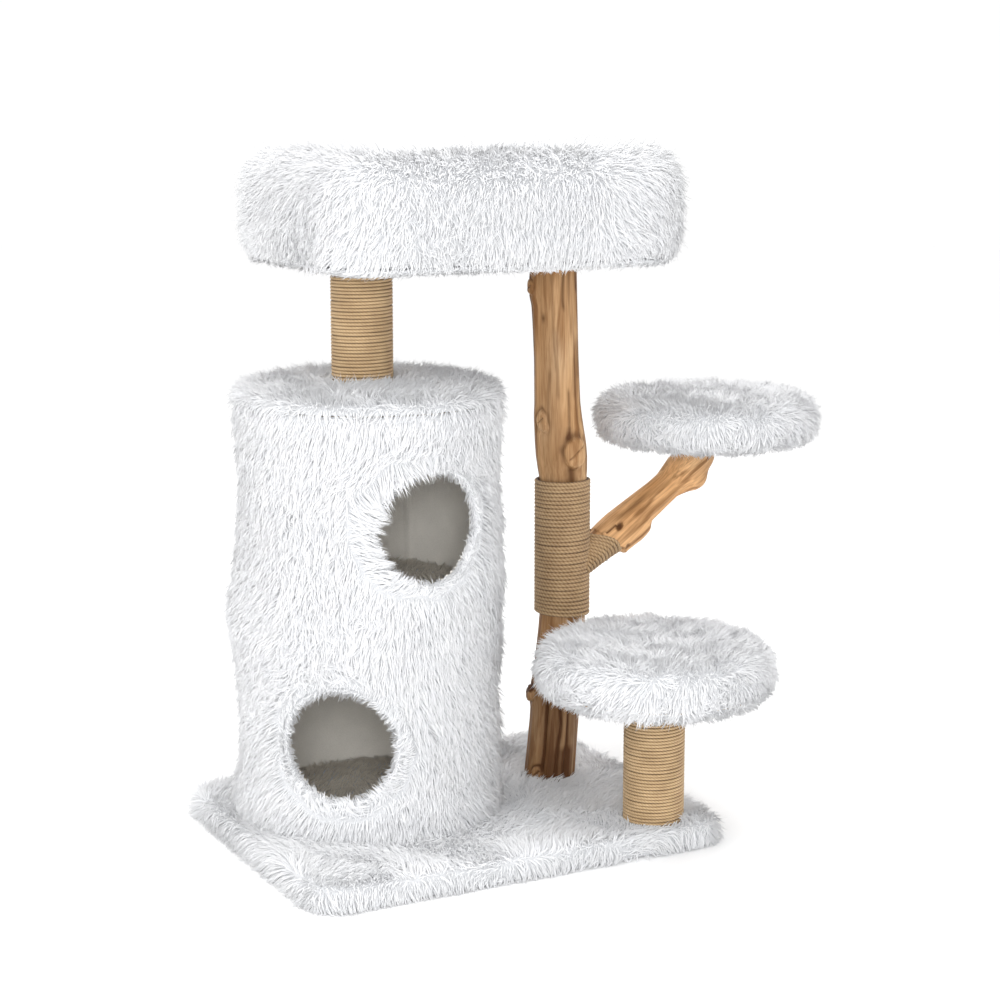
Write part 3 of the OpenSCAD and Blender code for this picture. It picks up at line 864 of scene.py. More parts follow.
def door_polar(points, door):
    """Distance of points from a door's axis, and the unit vectors away from it; far if behind."""
    height, outward, sideways = door_frame(door)
    local = points - CONDO
    across, up = local @ sideways, points[:, 2] - height
    distance = np.hypot(across, up)
    away = across[:, None] * sideways + up[:, None] * UP
    distance = np.where(local @ outward > 0, distance, FAR)
    return distance, unit(away)


def nearest_door(points):
    """Distance of points from the axis of the nearer door."""
    return np.minimum(*[door_polar(points, door)[0] for door in DOORS])


def sleeve_radius(z, angle):
    """Radius of the sleeve's backing: waisted between the floors, fuller on the left below."""
    outline_z = np.array([42, 75, 110, 190, 250, 300, 350, 430, 505, 560, 605, 615]) * MM
    outline_r = np.array([192, 189, 183, 182, 185, 190, 188, 181, 180, 183, 187, 187]) * MM
    around = compass(angle, z / 0.18)
    ripple = soft_noise(around * 0.1, 0.09, 5) * 1.8 * MM
    low_room = part((320 * MM - z) / (120 * MM))
    bulge = bell(z - 315 * MM, 55 * MM)
    fuller = (5 * low_room + 9 * bulge) * MM * np.cos(angle - math.radians(152))
    return np.maximum(np.interp(z, outline_z, outline_r) - PILE + ripple + fuller, TUBE_R + 2 * MM)


def rim_puff(points):
    """How far the backing stands out round the doors: a soft ridge inside a creased seam."""
    height = np.zeros(len(points))
    for door in DOORS:
        distance, _ = door_polar(points, door)
        past = (distance - DOOR_R) / DOOR_RIM
        height += 1.2 * MM * part(1.15 - past) * (past < 1.2)
        height -= 2.2 * MM * bell((past - 1) * DOOR_RIM, 4.5 * MM)
    return height


def make_sleeve():
    rows, sides = 156, 300
    z = np.linspace(PLUSH_TOP - 16 * MM, LID_SEAM, rows)
    angle = np.linspace(0, TURN, sides, endpoint=False)
    zz, aa = grid(z, angle)
    radius = sleeve_radius(zz, aa)
    tuck = part((zz - LID_SEAM + 5 * MM) / (5 * MM))
    radius = radius - 3 * MM * tuck ** 2
    around = compass(aa)
    outer = CONDO + around * radius[:, None] + UP * zz[:, None]
    outer = outer + around * rim_puff(outer)[:, None]
    faces = grid_faces(rows, sides)
    kept = nearest_door(outer)[faces].min(1) > DOOR_R - 2 * MM
    outer = snap_to_doors(outer)
    bm = bmesh.new()
    verts = [bm.verts.new(p) for p in outer]
    for face in faces[kept]:
        bm.faces.new([verts[i] for i in face])
    drop_loose(bm)
    sleeve = link("condo_sleeve", to_mesh("condo_sleeve", bm), smooth=True)
    modify(sleeve, "SOLIDIFY", thickness=6 * MM, offset=-1)
    add_piece(sleeve, backing_material(), "plush", "condo_plush")
    make_sleeve_fur()


def snap_to_doors(points):
    """Draws the points nearest a door's edge onto its circle, so that the cut is round."""
    for door in DOORS:
        distance, away = door_polar(points, door)
        near = np.abs(distance - DOOR_R) < 3.2 * MM
        points = points + away * np.where(near, DOOR_R - distance, 0)[:, None]
    return points


def make_sleeve_fur():
    spacing = 2.95 * MM
    rng = np.random.default_rng(41)
    low_z, high_z = PLUSH_TOP - 8 * MM, LID_SEAM - 2 * MM
    rows = int((high_z - low_z) / spacing)
    sides = int(TURN * 0.18 / spacing)
    r, s = grid(np.arange(rows), np.arange(sides))
    z = low_z + (r + rng.random(r.size)) * spacing
    angle = (s + rng.random(r.size)) * TURN / sides
    step = 2 * MM
    radius = sleeve_radius(z, angle)
    slope = (sleeve_radius(z + step, angle) - sleeve_radius(z - step, angle)) / (2 * step)
    around = compass(angle)
    points = CONDO + around * radius[:, None] + UP * z[:, None]
    points = points + around * rim_puff(points)[:, None]
    normals = unit(around - UP * slope[:, None])
    comb = -UP + 0.33 * soft_vectors(points, 110 * MM, 43)
    lean = 62 + 5 * soft_noise(points, 30 * MM, 44)
    length = 25 * MM * (1 + 0.12 * soft_noise(points, 24 * MM, 45))
    keep = np.ones(len(points), bool)
    for door, longer in zip(DOORS, LONG_PILE):
        distance, away = door_polar(points, door)
        keep &= distance > DOOR_R + 1 * MM
        extra = away @ longer
        share = part(extra / (32 * MM))
        beyond = distance - DOOR_R
        past = (beyond + 3 * MM * soft_noise(points, 20 * MM, 48)) / (1 + share)
        # Round the rim the pile leans away from the door
        near = bell(np.maximum(past - DOOR_RIM, 0), 22 * MM)[:, None]
        comb = comb * (1 - 0.35 * near) + away * near * 0.4
        # On the rim itself the pile turns in, over the edge
        inside = past < DOOR_RIM
        inward = -away - 0.25 * UP + 0.3 * soft_vectors(points, 18 * MM, 46)
        comb = np.where(inside[:, None], inward, comb)
        lean = np.where(inside, 55 + 4 * past / DOOR_RIM + 0.5 * np.maximum(extra, 0) / MM, lean)
        reach = 18 * MM + 3 * MM * past / DOOR_RIM + beyond * share
        reach = np.maximum(reach + np.where(extra > 0, 0.45 * extra, extra), 7 * MM)
        length = np.where(inside, reach, length)
        # Between the two it is pressed down along the seam
        parting = bell(past - DOOR_RIM, 5 * MM)
        length = length * (1 - 0.2 * parting)
        lean = lean + 5 * parting
    # Below the lid's seam the pile is short and lies flat
    under_lid = part((z - LID_SEAM + 14 * MM) / (14 * MM))
    length = length - 6 * MM * under_lid
    lean = lean + 8 * under_lid
    fur("condo_fur", points[keep], normals[keep], comb[keep], length[keep], lean[keep], seed=47)


def make_door_ring(name, door, node):
    """A stuffed plush roll round a door, in the thickness of the wall."""
    height, outward, sideways = door_frame(door)
    around, across = 120, 20
    centre_r = DOOR_R - 3 * MM
    half_w, depth_in, depth_out = 5 * MM, LINING_R - 1 * MM, TUBE_R + 9 * MM
    phi = np.linspace(0, TURN, around, endpoint=False)
    psi = np.linspace(0, TURN, across, endpoint=False)
    f, s = grid(phi, psi)
    wall_mid, wall_half = (depth_in + depth_out) / 2, (depth_out - depth_in) / 2
    ripple = 1 + 0.08 * np.sin(9 * f + 1.3) + 0.05 * np.sin(17 * f)
    reach = centre_r + half_w * ripple * np.cos(s)
    depth = wall_mid + wall_half * np.sin(s)
    u = reach * np.cos(f)
    out = np.sqrt(np.maximum(depth ** 2 - u ** 2, 0))
    points = (CONDO + outward * out[:, None] + sideways * u[:, None]
              + UP * (height + reach * np.sin(f))[:, None])
    faces = grid_faces(around, across).tolist()
    last = (around - 1) * across
    faces += [[last + k, last + (k + 1) % across, (k + 1) % across, k] for k in range(across)]
    ring = link(name, raw_mesh(name, points, faces), smooth=True)
    face_outward(ring)
    add_piece(ring, backing_material(), "plush", node)

    def seen(spots, normals):
        facing = (spots - CONDO) @ outward
        hidden = (normals * door_polar(spots, door)[1]).sum(1) > 0.55
        return ~hidden & (facing > 0) & ~(
            np.linalg.norm((spots - CONDO)[:, :2], axis=1) < LINING_R + 5 * MM)

    spots, normals = scatter(ring, 3.0 * MM, 53, seen)
    away = door_polar(spots, door)[1]
    comb = outward * 0.8 - away * 0.3 + 0.4 * soft_vectors(spots, 18 * MM, 55)
    fur(name + "_fur", spots, normals, comb, 13 * MM, 48.0, seed=57)


def face_outward(piece):
    edit_mesh(piece.data, lambda bm: bmesh.ops.recalc_face_normals(bm, faces=bm.faces))
    piece.data.shade_smooth()


def make_lid():
    radius = half_size("lid_plush").x - PILE
    top = LID_TOP - PILE
    profile = [(radius - 12 * MM, LID_SEAM + 0.3 * MM), (radius - 1.5 * MM, LID_SEAM + 0.6 * MM)]
    profile += [(radius - 15 * MM + 15 * MM * math.cos(a), top - 14 * MM + 15 * MM * math.sin(a))
                for a in np.linspace(0.05, math.pi / 2, 7)]
    profile += [(radius * k, top + 1 * MM + 3 * MM * (1 - k ** 2))
                for k in (0.8, 0.6, 0.4, 0.2, 0.05)]
    lid = lathe("condo_lid_cover", profile, CONDO)
    puff(lid, 5 * MM, 2 * MM, lambda p: p[:, 2] < LID_SEAM + 3 * MM)
    add_piece(lid, backing_material(), "plush", "lid_plush")
    points, normals = scatter(lid, 3.05 * MM, 61, lambda p, n: (
        (p[:, 2] > LID_SEAM + 1.5 * MM) & clear_of(p, UPPER_POST, POST_R + 1 * MM)))
    side = 1 - part(normals[:, 2])
    comb = crown_comb(points, CONDO, radius, 63) - UP * (1.3 * side)[:, None]
    fur("condo_lid_fur", points, normals, comb, 22 * MM, 44 + 18 * side, seed=67)


def make_room_felt(label):
    """A room's felt lining: its wall with an upright seam and the doors, and its ceiling."""
    low, high = heights(label + "_lining")
    rows, sides = 60, 240
    z = np.linspace(low + 0.3 * MM, high - 0.4 * MM, rows)
    angle = np.linspace(0, TURN, sides, endpoint=False)
    zz, aa = grid(z, angle)
    seam_at = math.radians(44.6)
    gap = np.abs((aa - seam_at + math.pi) % TURN - math.pi) * LINING_R
    wave = soft_noise(compass(aa, zz * 4) * 0.1, 0.07, 71)
    radius = LINING_R - 0.4 * MM + 0.7 * MM * wave - 2.2 * MM * bell(gap, 3 * MM)
    radius = np.minimum(radius, TUBE_R - 5.5 * MM)
    points = CONDO + compass(aa) * radius[:, None] + UP * zz[:, None]
    faces = grid_faces(rows, sides)
    kept = faces[nearest_door(points)[faces].max(1) > DOOR_R - 3 * MM][:, ::-1]
    points = snap_to_doors(points)
    # The ceiling is a disc of rings that sags a little, closed by one small face
    ceiling_r = np.array([1, 0.75, 0.5, 0.25, 0.02]) * (LINING_R - 0.5 * MM)
    disc = [CONDO + [r * math.cos(a), r * math.sin(a), high - (2.7 - 1.5 * r / LINING_R) * MM]
            for r in ceiling_r for a in angle]
    disc_faces = grid_faces(len(ceiling_r), sides)[:, ::-1] + len(points)
    hub = [len(points) + (len(ceiling_r) - 1) * sides + k for k in range(sides)]
    mesh = raw_mesh(label + "_felt", np.concatenate([points, disc]),
                    [*kept.tolist(), *disc_faces.tolist(), hub])
    edit_mesh(mesh, drop_loose)
    felt = link(label + "_felt", mesh, smooth=True)
    modify(felt, "SOLIDIFY", thickness=1.2 * MM, offset=0)
    add_piece(felt, felt_material((0.80, 0.765, 0.70), (0.92, 0.885, 0.82)), "felt",
              label + "_lining")


def make_room_mat(label):
    """The plush mat on a room's floor."""
    low, high = heights(label + "_mat")
    radius = LINING_R - 5 * MM
    top = high - 6 * MM
    profile = [(radius - 14 * MM, low + 0.5 * MM), (radius - 5 * MM, low + 1 * MM),
               (radius, low + 7 * MM), (radius - 2 * MM, top - 6 * MM),
               (radius - 10 * MM, top - 1 * MM)]
    profile += [(radius * k, top + 2 * MM * (1 - k ** 2)) for k in (0.85, 0.6, 0.35, 0.1)]
    mat = lathe(label + "_pad", profile, CONDO)
    puff(mat, 6 * MM, 3 * MM, lambda p: p[:, 2] < low + 3 * MM)
    add_piece(mat, backing_material(), "mat", label + "_mat")
    points, normals = scatter(mat, 4.2 * MM, 73, lambda p, n: n[:, 2] > 0.3)
    comb = soft_vectors(points, 45 * MM, 75) - outward_from(points, CONDO) * 0.2
    fur(label + "_mat_fur", points, normals, comb, 15 * MM, 46.0, slot="mat",
        pile=mat_pile_material, width=1.2 * MM, seed=77)


# ---- rope ----

# Strands that a rope is laid from
STRANDS = 3


def rope(name, path, outward, radius, material, slot, node, lay, sides=12):
    """A laid rope along path: its strands show as ridges that wind round it."""
    tangent = unit(np.gradient(path, axis=0))
    outward = unit(outward - (outward * tangent).sum(1, keepdims=True) * tangent)
    across = np.cross(tangent, outward)
    along = np.concatenate([[0], np.cumsum(np.linalg.norm(np.diff(path, axis=0), axis=1))])
    psi = np.linspace(0, TURN, sides, endpoint=False)
    ridge = np.abs(np.cos(STRANDS / 2 * (psi[None] - along[:, None] * TURN / lay)))
    reach = radius * (0.68 + 0.34 * ridge ** 0.8)
    proud = part(np.cos(psi))[None] ** 0.8
    points = (path[:, None] + outward[:, None] * (reach * np.cos(psi))[:, :, None]
              + across[:, None] * (reach * np.sin(psi))[:, :, None])
    piece = closed_skin(name, points.reshape(-1, 3), len(path), sides, smooth=False)
    face_outward(piece)
    # relief is low between the strands and on the side turned in to the core, where the colour gets
    # painted shade.
    set_value(piece.data, "relief", ((0.45 + 0.55 * ridge) * proud).ravel())
    return add_piece(piece, material, slot, node)


def helix(centre, radius, low, high, pitch, step, sag=0.0, sag_to=0.0):
    """Turns of a rope laid side by side round an upright post, level at both ends.

    The lowest turns tilt by sag, down toward the direction sag_to, where that is asked for.
    """
    turns = (high - low - pitch) / pitch + 1
    count = int(turns * TURN * radius / step)
    angle = np.linspace(0, turns * TURN, count)
    rise = part((angle / TURN - 0.4) / (turns - 0.8))
    wobble = soft_noise(np.stack([angle, angle * 0, angle * 0], axis=-1), 1.3, 81) * 0.05 * pitch
    z = low + pitch / 2 + (high - low - pitch) * rise + wobble
    z = z - sag * np.cos(angle - sag_to) * np.exp(-(z - low) / (22 * MM))
    tucked = part(1 - np.minimum(angle, angle[-1] - angle) / 0.5)
    reach = radius - 0.45 * pitch * tucked ** 2
    outward = compass(angle)
    return centre * [1, 1, 0] + outward * reach[:, None] + UP * z[:, None], outward


def make_posts():
    sisal = rope_material("sisal_rope", (0.26, 0.15, 0.065), (0.45, 0.295, 0.145),
                          (0.64, 0.465, 0.27))
    for label, centre in (("lower", LOWER_POST), ("upper", UPPER_POST)):
        low, high = heights(f"{label}_post_sisal")
        thick = POST_R - CORE_R
        pitch = (high - low) / round((high - low) / (4.7 * MM))
        path, outward = helix(centre, CORE_R + thick / 2, low, high, pitch, 1.25 * MM)
        rope(f"{label}_post_rope", path, outward, thick / 2 * 1.1, sisal, "sisal",
             f"{label}_post_sisal", lay=14 * MM, sides=9)


def make_wraps():
    jute = rope_material("jute_rope", (0.075, 0.037, 0.014), (0.31, 0.19, 0.09), (0.52, 0.36, 0.20))
    low, high = heights("trunk_rope")
    thick = 6 * MM
    pitch = (high - low) / round((high - low) / (5.5 * MM))
    path, outward = helix(TRUNK_WRAP, WRAP_R - thick / 2, low, high, pitch, 1.3 * MM,
                          3.5 * MM, math.radians(-25))
    rope("trunk_wrap", path, outward, thick / 2 * 1.06, jute, "jute", "trunk_rope", lay=17 * MM)
    make_branch_wrap(jute, thick, pitch)


def make_branch_wrap(jute, thick, pitch):
    """Turns that fan out from the trunk's rope: pulled in below, and each one's top slants back."""
    depth = np.array([0.0, 1.0, 0.0])
    first, last = 22 * MM, 87 * MM
    radius = 30.8 * MM + thick / 2
    turns = (last - first) / pitch
    count = int(turns * TURN * radius / (1.3 * MM))
    angle = np.linspace(0, turns * TURN, count)
    out = BRANCH_UP * np.cos(angle)[:, None] + depth * np.sin(angle)[:, None]
    share = part((angle / TURN - 0.3) / (turns - 0.6))
    below = part(-np.cos(angle) + 0.25)
    tucked = part((angle - angle[-1]) / 0.6 + 1)
    reach = radius - (25 - 12 * share) * MM * below - 2.5 * MM * tucked ** 2
    slant = 25 * MM * part(np.cos(angle)) ** 2
    along = first + (last - first) * share - slant
    path = BRANCH_ROOT + BRANCH_AXIS * along[:, None] + out * reach[:, None]
    rope("branch_wrap", path, out, thick / 2 * 1.06, jute, "jute", "branch_rope", lay=17 * MM)


# ---- trunk and branch ----

# Knots on the trunk: height, direction in degrees from +X, half width, half height, bump
KNOTS = ((758 * MM, 168, 8 * MM, 10 * MM, 2.2 * MM), (522 * MM, -84, 15 * MM, 21 * MM, 3 * MM),
         (162 * MM, 163, 9 * MM, 11 * MM, 5 * MM), (567 * MM, 199, 8 * MM, 14 * MM, 2 * MM),
         (46 * MM, 212, 8 * MM, 9 * MM, 2 * MM))

# Brown streaks on the trunk, and painted shade down its two edges: lower and upper end, direction,
# half width, depth of the colour
# The rows from 490 to 800 mm at 152 and -36 degrees run down the trunk's two edges as seen: painted
# shade there, over the wood's own darker brown.
STREAKS_AND_EDGE_SHADE = ((764, 803, 157, 4, 0.7), (630, 745, 158, 4.5, 0.85), (490, 800, 152, 10, 0.5),
           (490, 800, -36, 9, 0.6), (560, 640, -140, 3, 0.3), (600, 700, -118, 2.5, 0.3),
           (640, 790, -125, 2, 0.3), (690, 780, -80, 2.5, 0.35), (600, 660, -70, 3, 0.35),
           (727, 803, -97, 2, 0.8), (752, 803, -50, 2, 0.8), (628, 682, -55, 4, 0.4),
           (552, 612, -90, 2.5, 0.7), (538, 556, -94, 6, 0.6), (476, 500, -94, 9, 0.85),
           (709, 719, -152, 3, 0.7), (24, 84, -88, 11, 0.5))

# Deep grooves at the trunk's foot: lower and upper end, direction, half width
GROOVES = ((50, 150, -138, 2.2), (40, 180, -104, 2.0), (45, 170, -86, 2.2))
GROOVE_DEPTH = 3.0 * MM

# Between which heights rope covers the trunk
WRAPPED = (284 * MM, 474 * MM)


def carve(name, node, voxel, rounds, shape):
    """A fine copy of a CAD limb, smoothed, with its surface moved by shape and its colour darkened
    by shape, with stains and painted shade.
    """
    piece = link(name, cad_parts[node].data.copy())
    modify(piece, "REMESH", mode="VOXEL", voxel_size=voxel)
    modify(piece, "SMOOTH", iterations=rounds, factor=0.5)
    co, no = points_of(piece.data), normals_of(piece.data)
    offset, stain_and_shade = shape(co, no)
    set_points(piece.data, co + no * offset[:, None])
    set_value(piece.data, "stain_and_shade", part(stain_and_shade))
    piece.data.shade_smooth()
    return piece


def centre_line(co):
    """For each point of an upright limb, its middle along X at that height."""
    step = 20 * MM
    level = np.round(co[:, 2] / step).astype(int)
    count = np.bincount(level)
    used = np.flatnonzero(count)
    mean = np.bincount(level, co[:, 0])[used] / count[used]
    return np.interp(co[:, 2], used * step, mean)


def stroke(across, z, low, high, half_width):
    """1 along an upright stroke on the bark, fading at its sides and its two ends."""
    low_end, high_end = (part(depth / (10 * MM) + 0.5)
                         for depth in (z - low * MM, high * MM - z))
    return bell(across, half_width * MM) * (low_end * high_end)


def make_trunk():
    def shape(co, no):
        z = co[:, 2]
        angle = np.arctan2(co[:, 1] - TRUNK_WRAP[1], co[:, 0] - centre_line(co))
        flat = compass(angle, z / 0.9) * 0.1
        foot = part((260 * MM - z) / (60 * MM))
        ridges = soft_noise(flat, 0.033, 91, 14)
        fine = soft_noise(flat * [1, 1, 0.6], 0.010, 93, 16)
        hollows = part(-ridges - 0.25)
        offset = (0.8 * ridges + 0.3 * fine) * MM - hollows * (0.8 + 1.6 * foot) * MM
        # Darker in the low spots between the ridges; below 260 mm the whole foot is darker, most in
        # its hollows: painted shade from the perch, over the foot's own deeper brown.
        stain_and_shade = 0.25 * part(-ridges - 0.4) + 0.5 * foot * hollows + 0.42 * foot
        stain_and_shade += 0.25 * part(fine - 0.6)
        warp = soft_noise(co, 11 * MM, 95) * 2.0 * MM
        drift = soft_noise(co * [1, 1, 0.25], 12 * MM, 96) * 1.6 * MM

        def across_from(direction):
            return np.angle(np.exp(1j * (angle - math.radians(direction)))) * 34 * MM

        # Streaks only darken the colour, as stains and as painted shade along the edges; grooves
        # also cut in
        for low, high, direction, half_width, depth in STREAKS_AND_EDGE_SHADE:
            stain_and_shade += depth * stroke(across_from(direction) + drift, z, low, high, half_width)
        for low, high, direction, half_width in GROOVES:
            cut = stroke(across_from(direction) + drift, z, low, high, half_width)
            offset -= GROOVE_DEPTH * cut
            stain_and_shade += 0.95 * cut
        # A knot is a dome with rings and a crack, in a dark moat
        for height, direction, half_w, half_h, bump in KNOTS:
            across, up = across_from(direction) + warp, z - height + 0.8 * drift
            reach = np.hypot(across / half_w, up / half_h)
            dome = part((1.25 - reach) / 0.35)
            dome = dome * dome * (3 - 2 * dome)
            rings = 0.5 + 0.5 * np.cos(reach * 9 + 2 * warp / MM)
            moat = bell(reach - 1.28, 0.26)
            heavy = np.clip(0.5 + 0.6 * (up - across) / half_h + 0.35 * fine, 0.1, 1)
            crack = bell(up - 0.9 * across, 1.5 * MM) * (reach < 0.75)
            offset += bump * dome - 1.6 * MM * moat - 2.0 * MM * crack - 0.4 * MM * rings * dome
            stain_and_shade += 0.55 * heavy * moat + 0.7 * crack + 0.12 * rings * dome
            stain_and_shade -= 0.22 * dome
        # The notch just above the rope, and the flat end of a cut shoot
        notch = stroke(across_from(-94), z, 470, 500, 9)
        offset -= 2.2 * MM * notch
        cut_face = (z > 163 * MM) & (z < 176 * MM) & (np.abs(across_from(163)) < 10 * MM)
        stain_and_shade += 0.6 * cut_face
        # Under the rope nothing stands out
        wrapped = (z > WRAPPED[0]) & (z < WRAPPED[1])
        offset = np.where(wrapped, np.minimum(offset, 0) - 0.6 * MM, offset)
        return offset, stain_and_shade

    trunk = carve("trunk_wood", "trunk", 1.6 * MM, 14, shape)
    add_piece(trunk, peeled_wood_material("peeled_trunk", (0, 0, 0), 1.0), "trunk_wood", "trunk")


def on_branch(points):
    """How far along the branch points are, and the way to each from its axis."""
    local = points - BRANCH_ROOT
    along = local @ BRANCH_AXIS
    return along, local - along[:, None] * BRANCH_AXIS


def tuck_into_wrap(branch):
    """Draws the root of the branch in toward its axis, so that the turns of rope lie over it."""
    along, across = on_branch(points_of(branch.data))
    reach = np.maximum(np.linalg.norm(across, axis=1), 1 * MM)
    lower = part(0.3 - 1.3 * (across @ BRANCH_UP) / reach)
    room_below = np.interp(along / MM, (30, 60, 87, 100), (8, 13, 20, 45)) * MM
    room_above = np.interp(along / MM, (76, 90), (27.5, 45)) * MM
    room = room_above * (1 - lower) + room_below * lower
    across = across * np.minimum(1, room / reach)[:, None]
    set_points(branch.data, BRANCH_ROOT + along[:, None] * BRANCH_AXIS + across)


def make_branch():
    def shape(co, no):
        along, across = on_branch(co)
        rise = across @ BRANCH_UP
        flat = np.stack([rise, across[:, 1], along * 0.12], axis=-1)
        ridges = soft_noise(flat, 0.016, 101, 14)
        fine = soft_noise(flat, 0.006, 103, 16)
        facing = rise / np.maximum(np.hypot(rise, across[:, 1]), 1 * MM)
        top, below = part(facing), part(-facing)
        offset = (0.8 * ridges + 0.3 * fine) * MM
        # From its middle on the branch is thinner, mostly from below
        fade = part((240 * MM - along) / (30 * MM))
        step = part((along - 142 * MM) / (14 * MM))
        step = step * step * (3 - 2 * step)
        gradual = part((along - 110 * MM) / (80 * MM))
        offset -= fade * (9 * below * step + 4 * top * gradual + 2 * gradual) * MM
        offset += 2.5 * MM * below * bell(along - 128 * MM, 16 * MM)
        # The knob at the end, and its flat outer face
        knob = np.hypot(along - 252 * MM, rise + 26 * MM)
        offset += 5 * MM * bell(knob, 15 * MM)
        offset -= 4 * MM * part((along - 262 * MM) / (12 * MM)) * part(no[:, 0])
        # A dark line along the crest, on the side that faces the viewer
        seen = across[:, 1] < 3 * MM
        crest = bell(facing - 0.80 + 0.05 * ridges, 0.13) * seen
        crest = crest * part((215 * MM - along) / (50 * MM))
        offset -= 1.2 * MM * crest
        stain_and_shade = 0.12 * part(-ridges - 0.4) + 0.55 * crest * np.clip(0.75 + 0.35 * fine, 0.2, 1)
        # An oblong hole with a short tail, and a spot
        tilt = math.radians(14)
        u = (along - 104 * MM) * math.cos(tilt) + (rise - 18 * MM) * math.sin(tilt)
        v = -(along - 104 * MM) * math.sin(tilt) + (rise - 18 * MM) * math.cos(tilt)
        hole = np.exp(-((u / (7 * MM)) ** 2 + (v / (3.8 * MM)) ** 2) ** 2) * seen
        tail = bell(rise - 22 * MM, 1.4 * MM) * (np.abs(along - 92 * MM) < 10 * MM) * seen
        spot = np.exp(-(np.hypot(along - 97 * MM, rise + 15 * MM) / (4 * MM)) ** 4) * seen
        offset -= (4.5 * hole + 1.5 * tail + 1.2 * spot) * MM
        stain_and_shade += 0.95 * hole + 0.7 * tail + 0.7 * spot
        # The end under the perch is darker: the knob's own dark brown, and painted shade from the
        # perch that is strongest on the underside
        end = part((along - 236 * MM) / (30 * MM)) * (0.4 + 0.6 * below)
        stain_and_shade += 0.5 * end
        return offset * part((along - 76 * MM) / (12 * MM)), stain_and_shade

    branch = carve("branch_wood", "branch", 1.5 * MM, 70, shape)
    tuck_into_wrap(branch)
    turn = (0, BRANCH_TILT - math.pi / 2, 0)
    add_piece(branch, peeled_wood_material("peeled_branch", turn, 1.65), "trunk_wood", "branch")


# ---- perches ----

# Exponent that makes the perches' edge squarer than a half circle
SQUARENESS = 2 / 2.6


def make_perch(label, centre, hole_centre, hole_r):
    low, high = heights(f"{label}_perch_plush")
    radius = PERCH_R - PILE
    bottom, top = low + PILE * 0.7, high - PILE
    bulge = (top - bottom) / 2
    middle_z = (top + bottom) / 2
    profile = [(radius * k, bottom - 1 * MM * (1 - k)) for k in (0.05, 0.3, 0.55, 0.75)]
    for a in np.linspace(-math.pi / 2, math.pi / 2, 15):
        c, s = math.cos(a), math.sin(a)
        profile.append((radius - bulge + bulge * max(c, 0) ** SQUARENESS,
                        middle_z + bulge * math.copysign(abs(s) ** SQUARENESS, s)))
    profile += [(radius * k, top + 3 * MM * (1 - (k / 0.8) ** 2)) for k in (0.7, 0.5, 0.3, 0.05)]
    pad = lathe(f"{label}_perch_pad", profile, centre)
    puff(pad, 6 * MM, 2.5 * MM, lambda p: p[:, 2] < bottom + 2 * MM)
    add_piece(pad, backing_material(), "plush", f"{label}_perch_plush")
    points, normals = scatter(pad, 3.05 * MM, 111, lambda p, n: (
        clear_of(p, hole_centre, hole_r) | (n[:, 2] > 0)))
    under = part(-normals[:, 2] - 0.4)
    side = 1 - part(np.abs(normals[:, 2]))
    comb = (crown_comb(points, centre, radius, 113) - outward_from(points, centre) * under[:, None]
            - UP * (0.9 * side)[:, None])
    length = 21 * MM - 10 * MM * under
    fur(f"{label}_perch_fur", points, normals, comb, length, 42 + 10 * side, seed=117)
    make_perch_foam(label, centre)


def make_perch_foam(label, centre):
    """The foam disc inside a perch's cover: crowned, with a rounded upper edge."""
    low, high = heights(f"{label}_perch_foam")
    radius = half_size(f"{label}_perch_foam").x - 2 * MM
    edge = 11 * MM
    profile = [(radius * 0.1, low + 0.4 * MM), (radius * 0.6, low + 0.4 * MM),
               (radius - 1 * MM, low + 0.6 * MM), (radius, low + 5 * MM)]
    profile += [(radius - edge + edge * math.cos(a), high - 3 * MM - edge + edge * math.sin(a))
                for a in np.linspace(0.1, math.pi / 2, 6)]
    profile += [(radius * k, high - 3 * MM + 2 * MM * (1 - k ** 2)) for k in (0.7, 0.4, 0.1)]
    foam = lathe(f"{label}_perch_cushion", profile, centre, 96)
    add_piece(foam, foam_material(), "foam", f"{label}_perch_foam")


# ---- bed ----


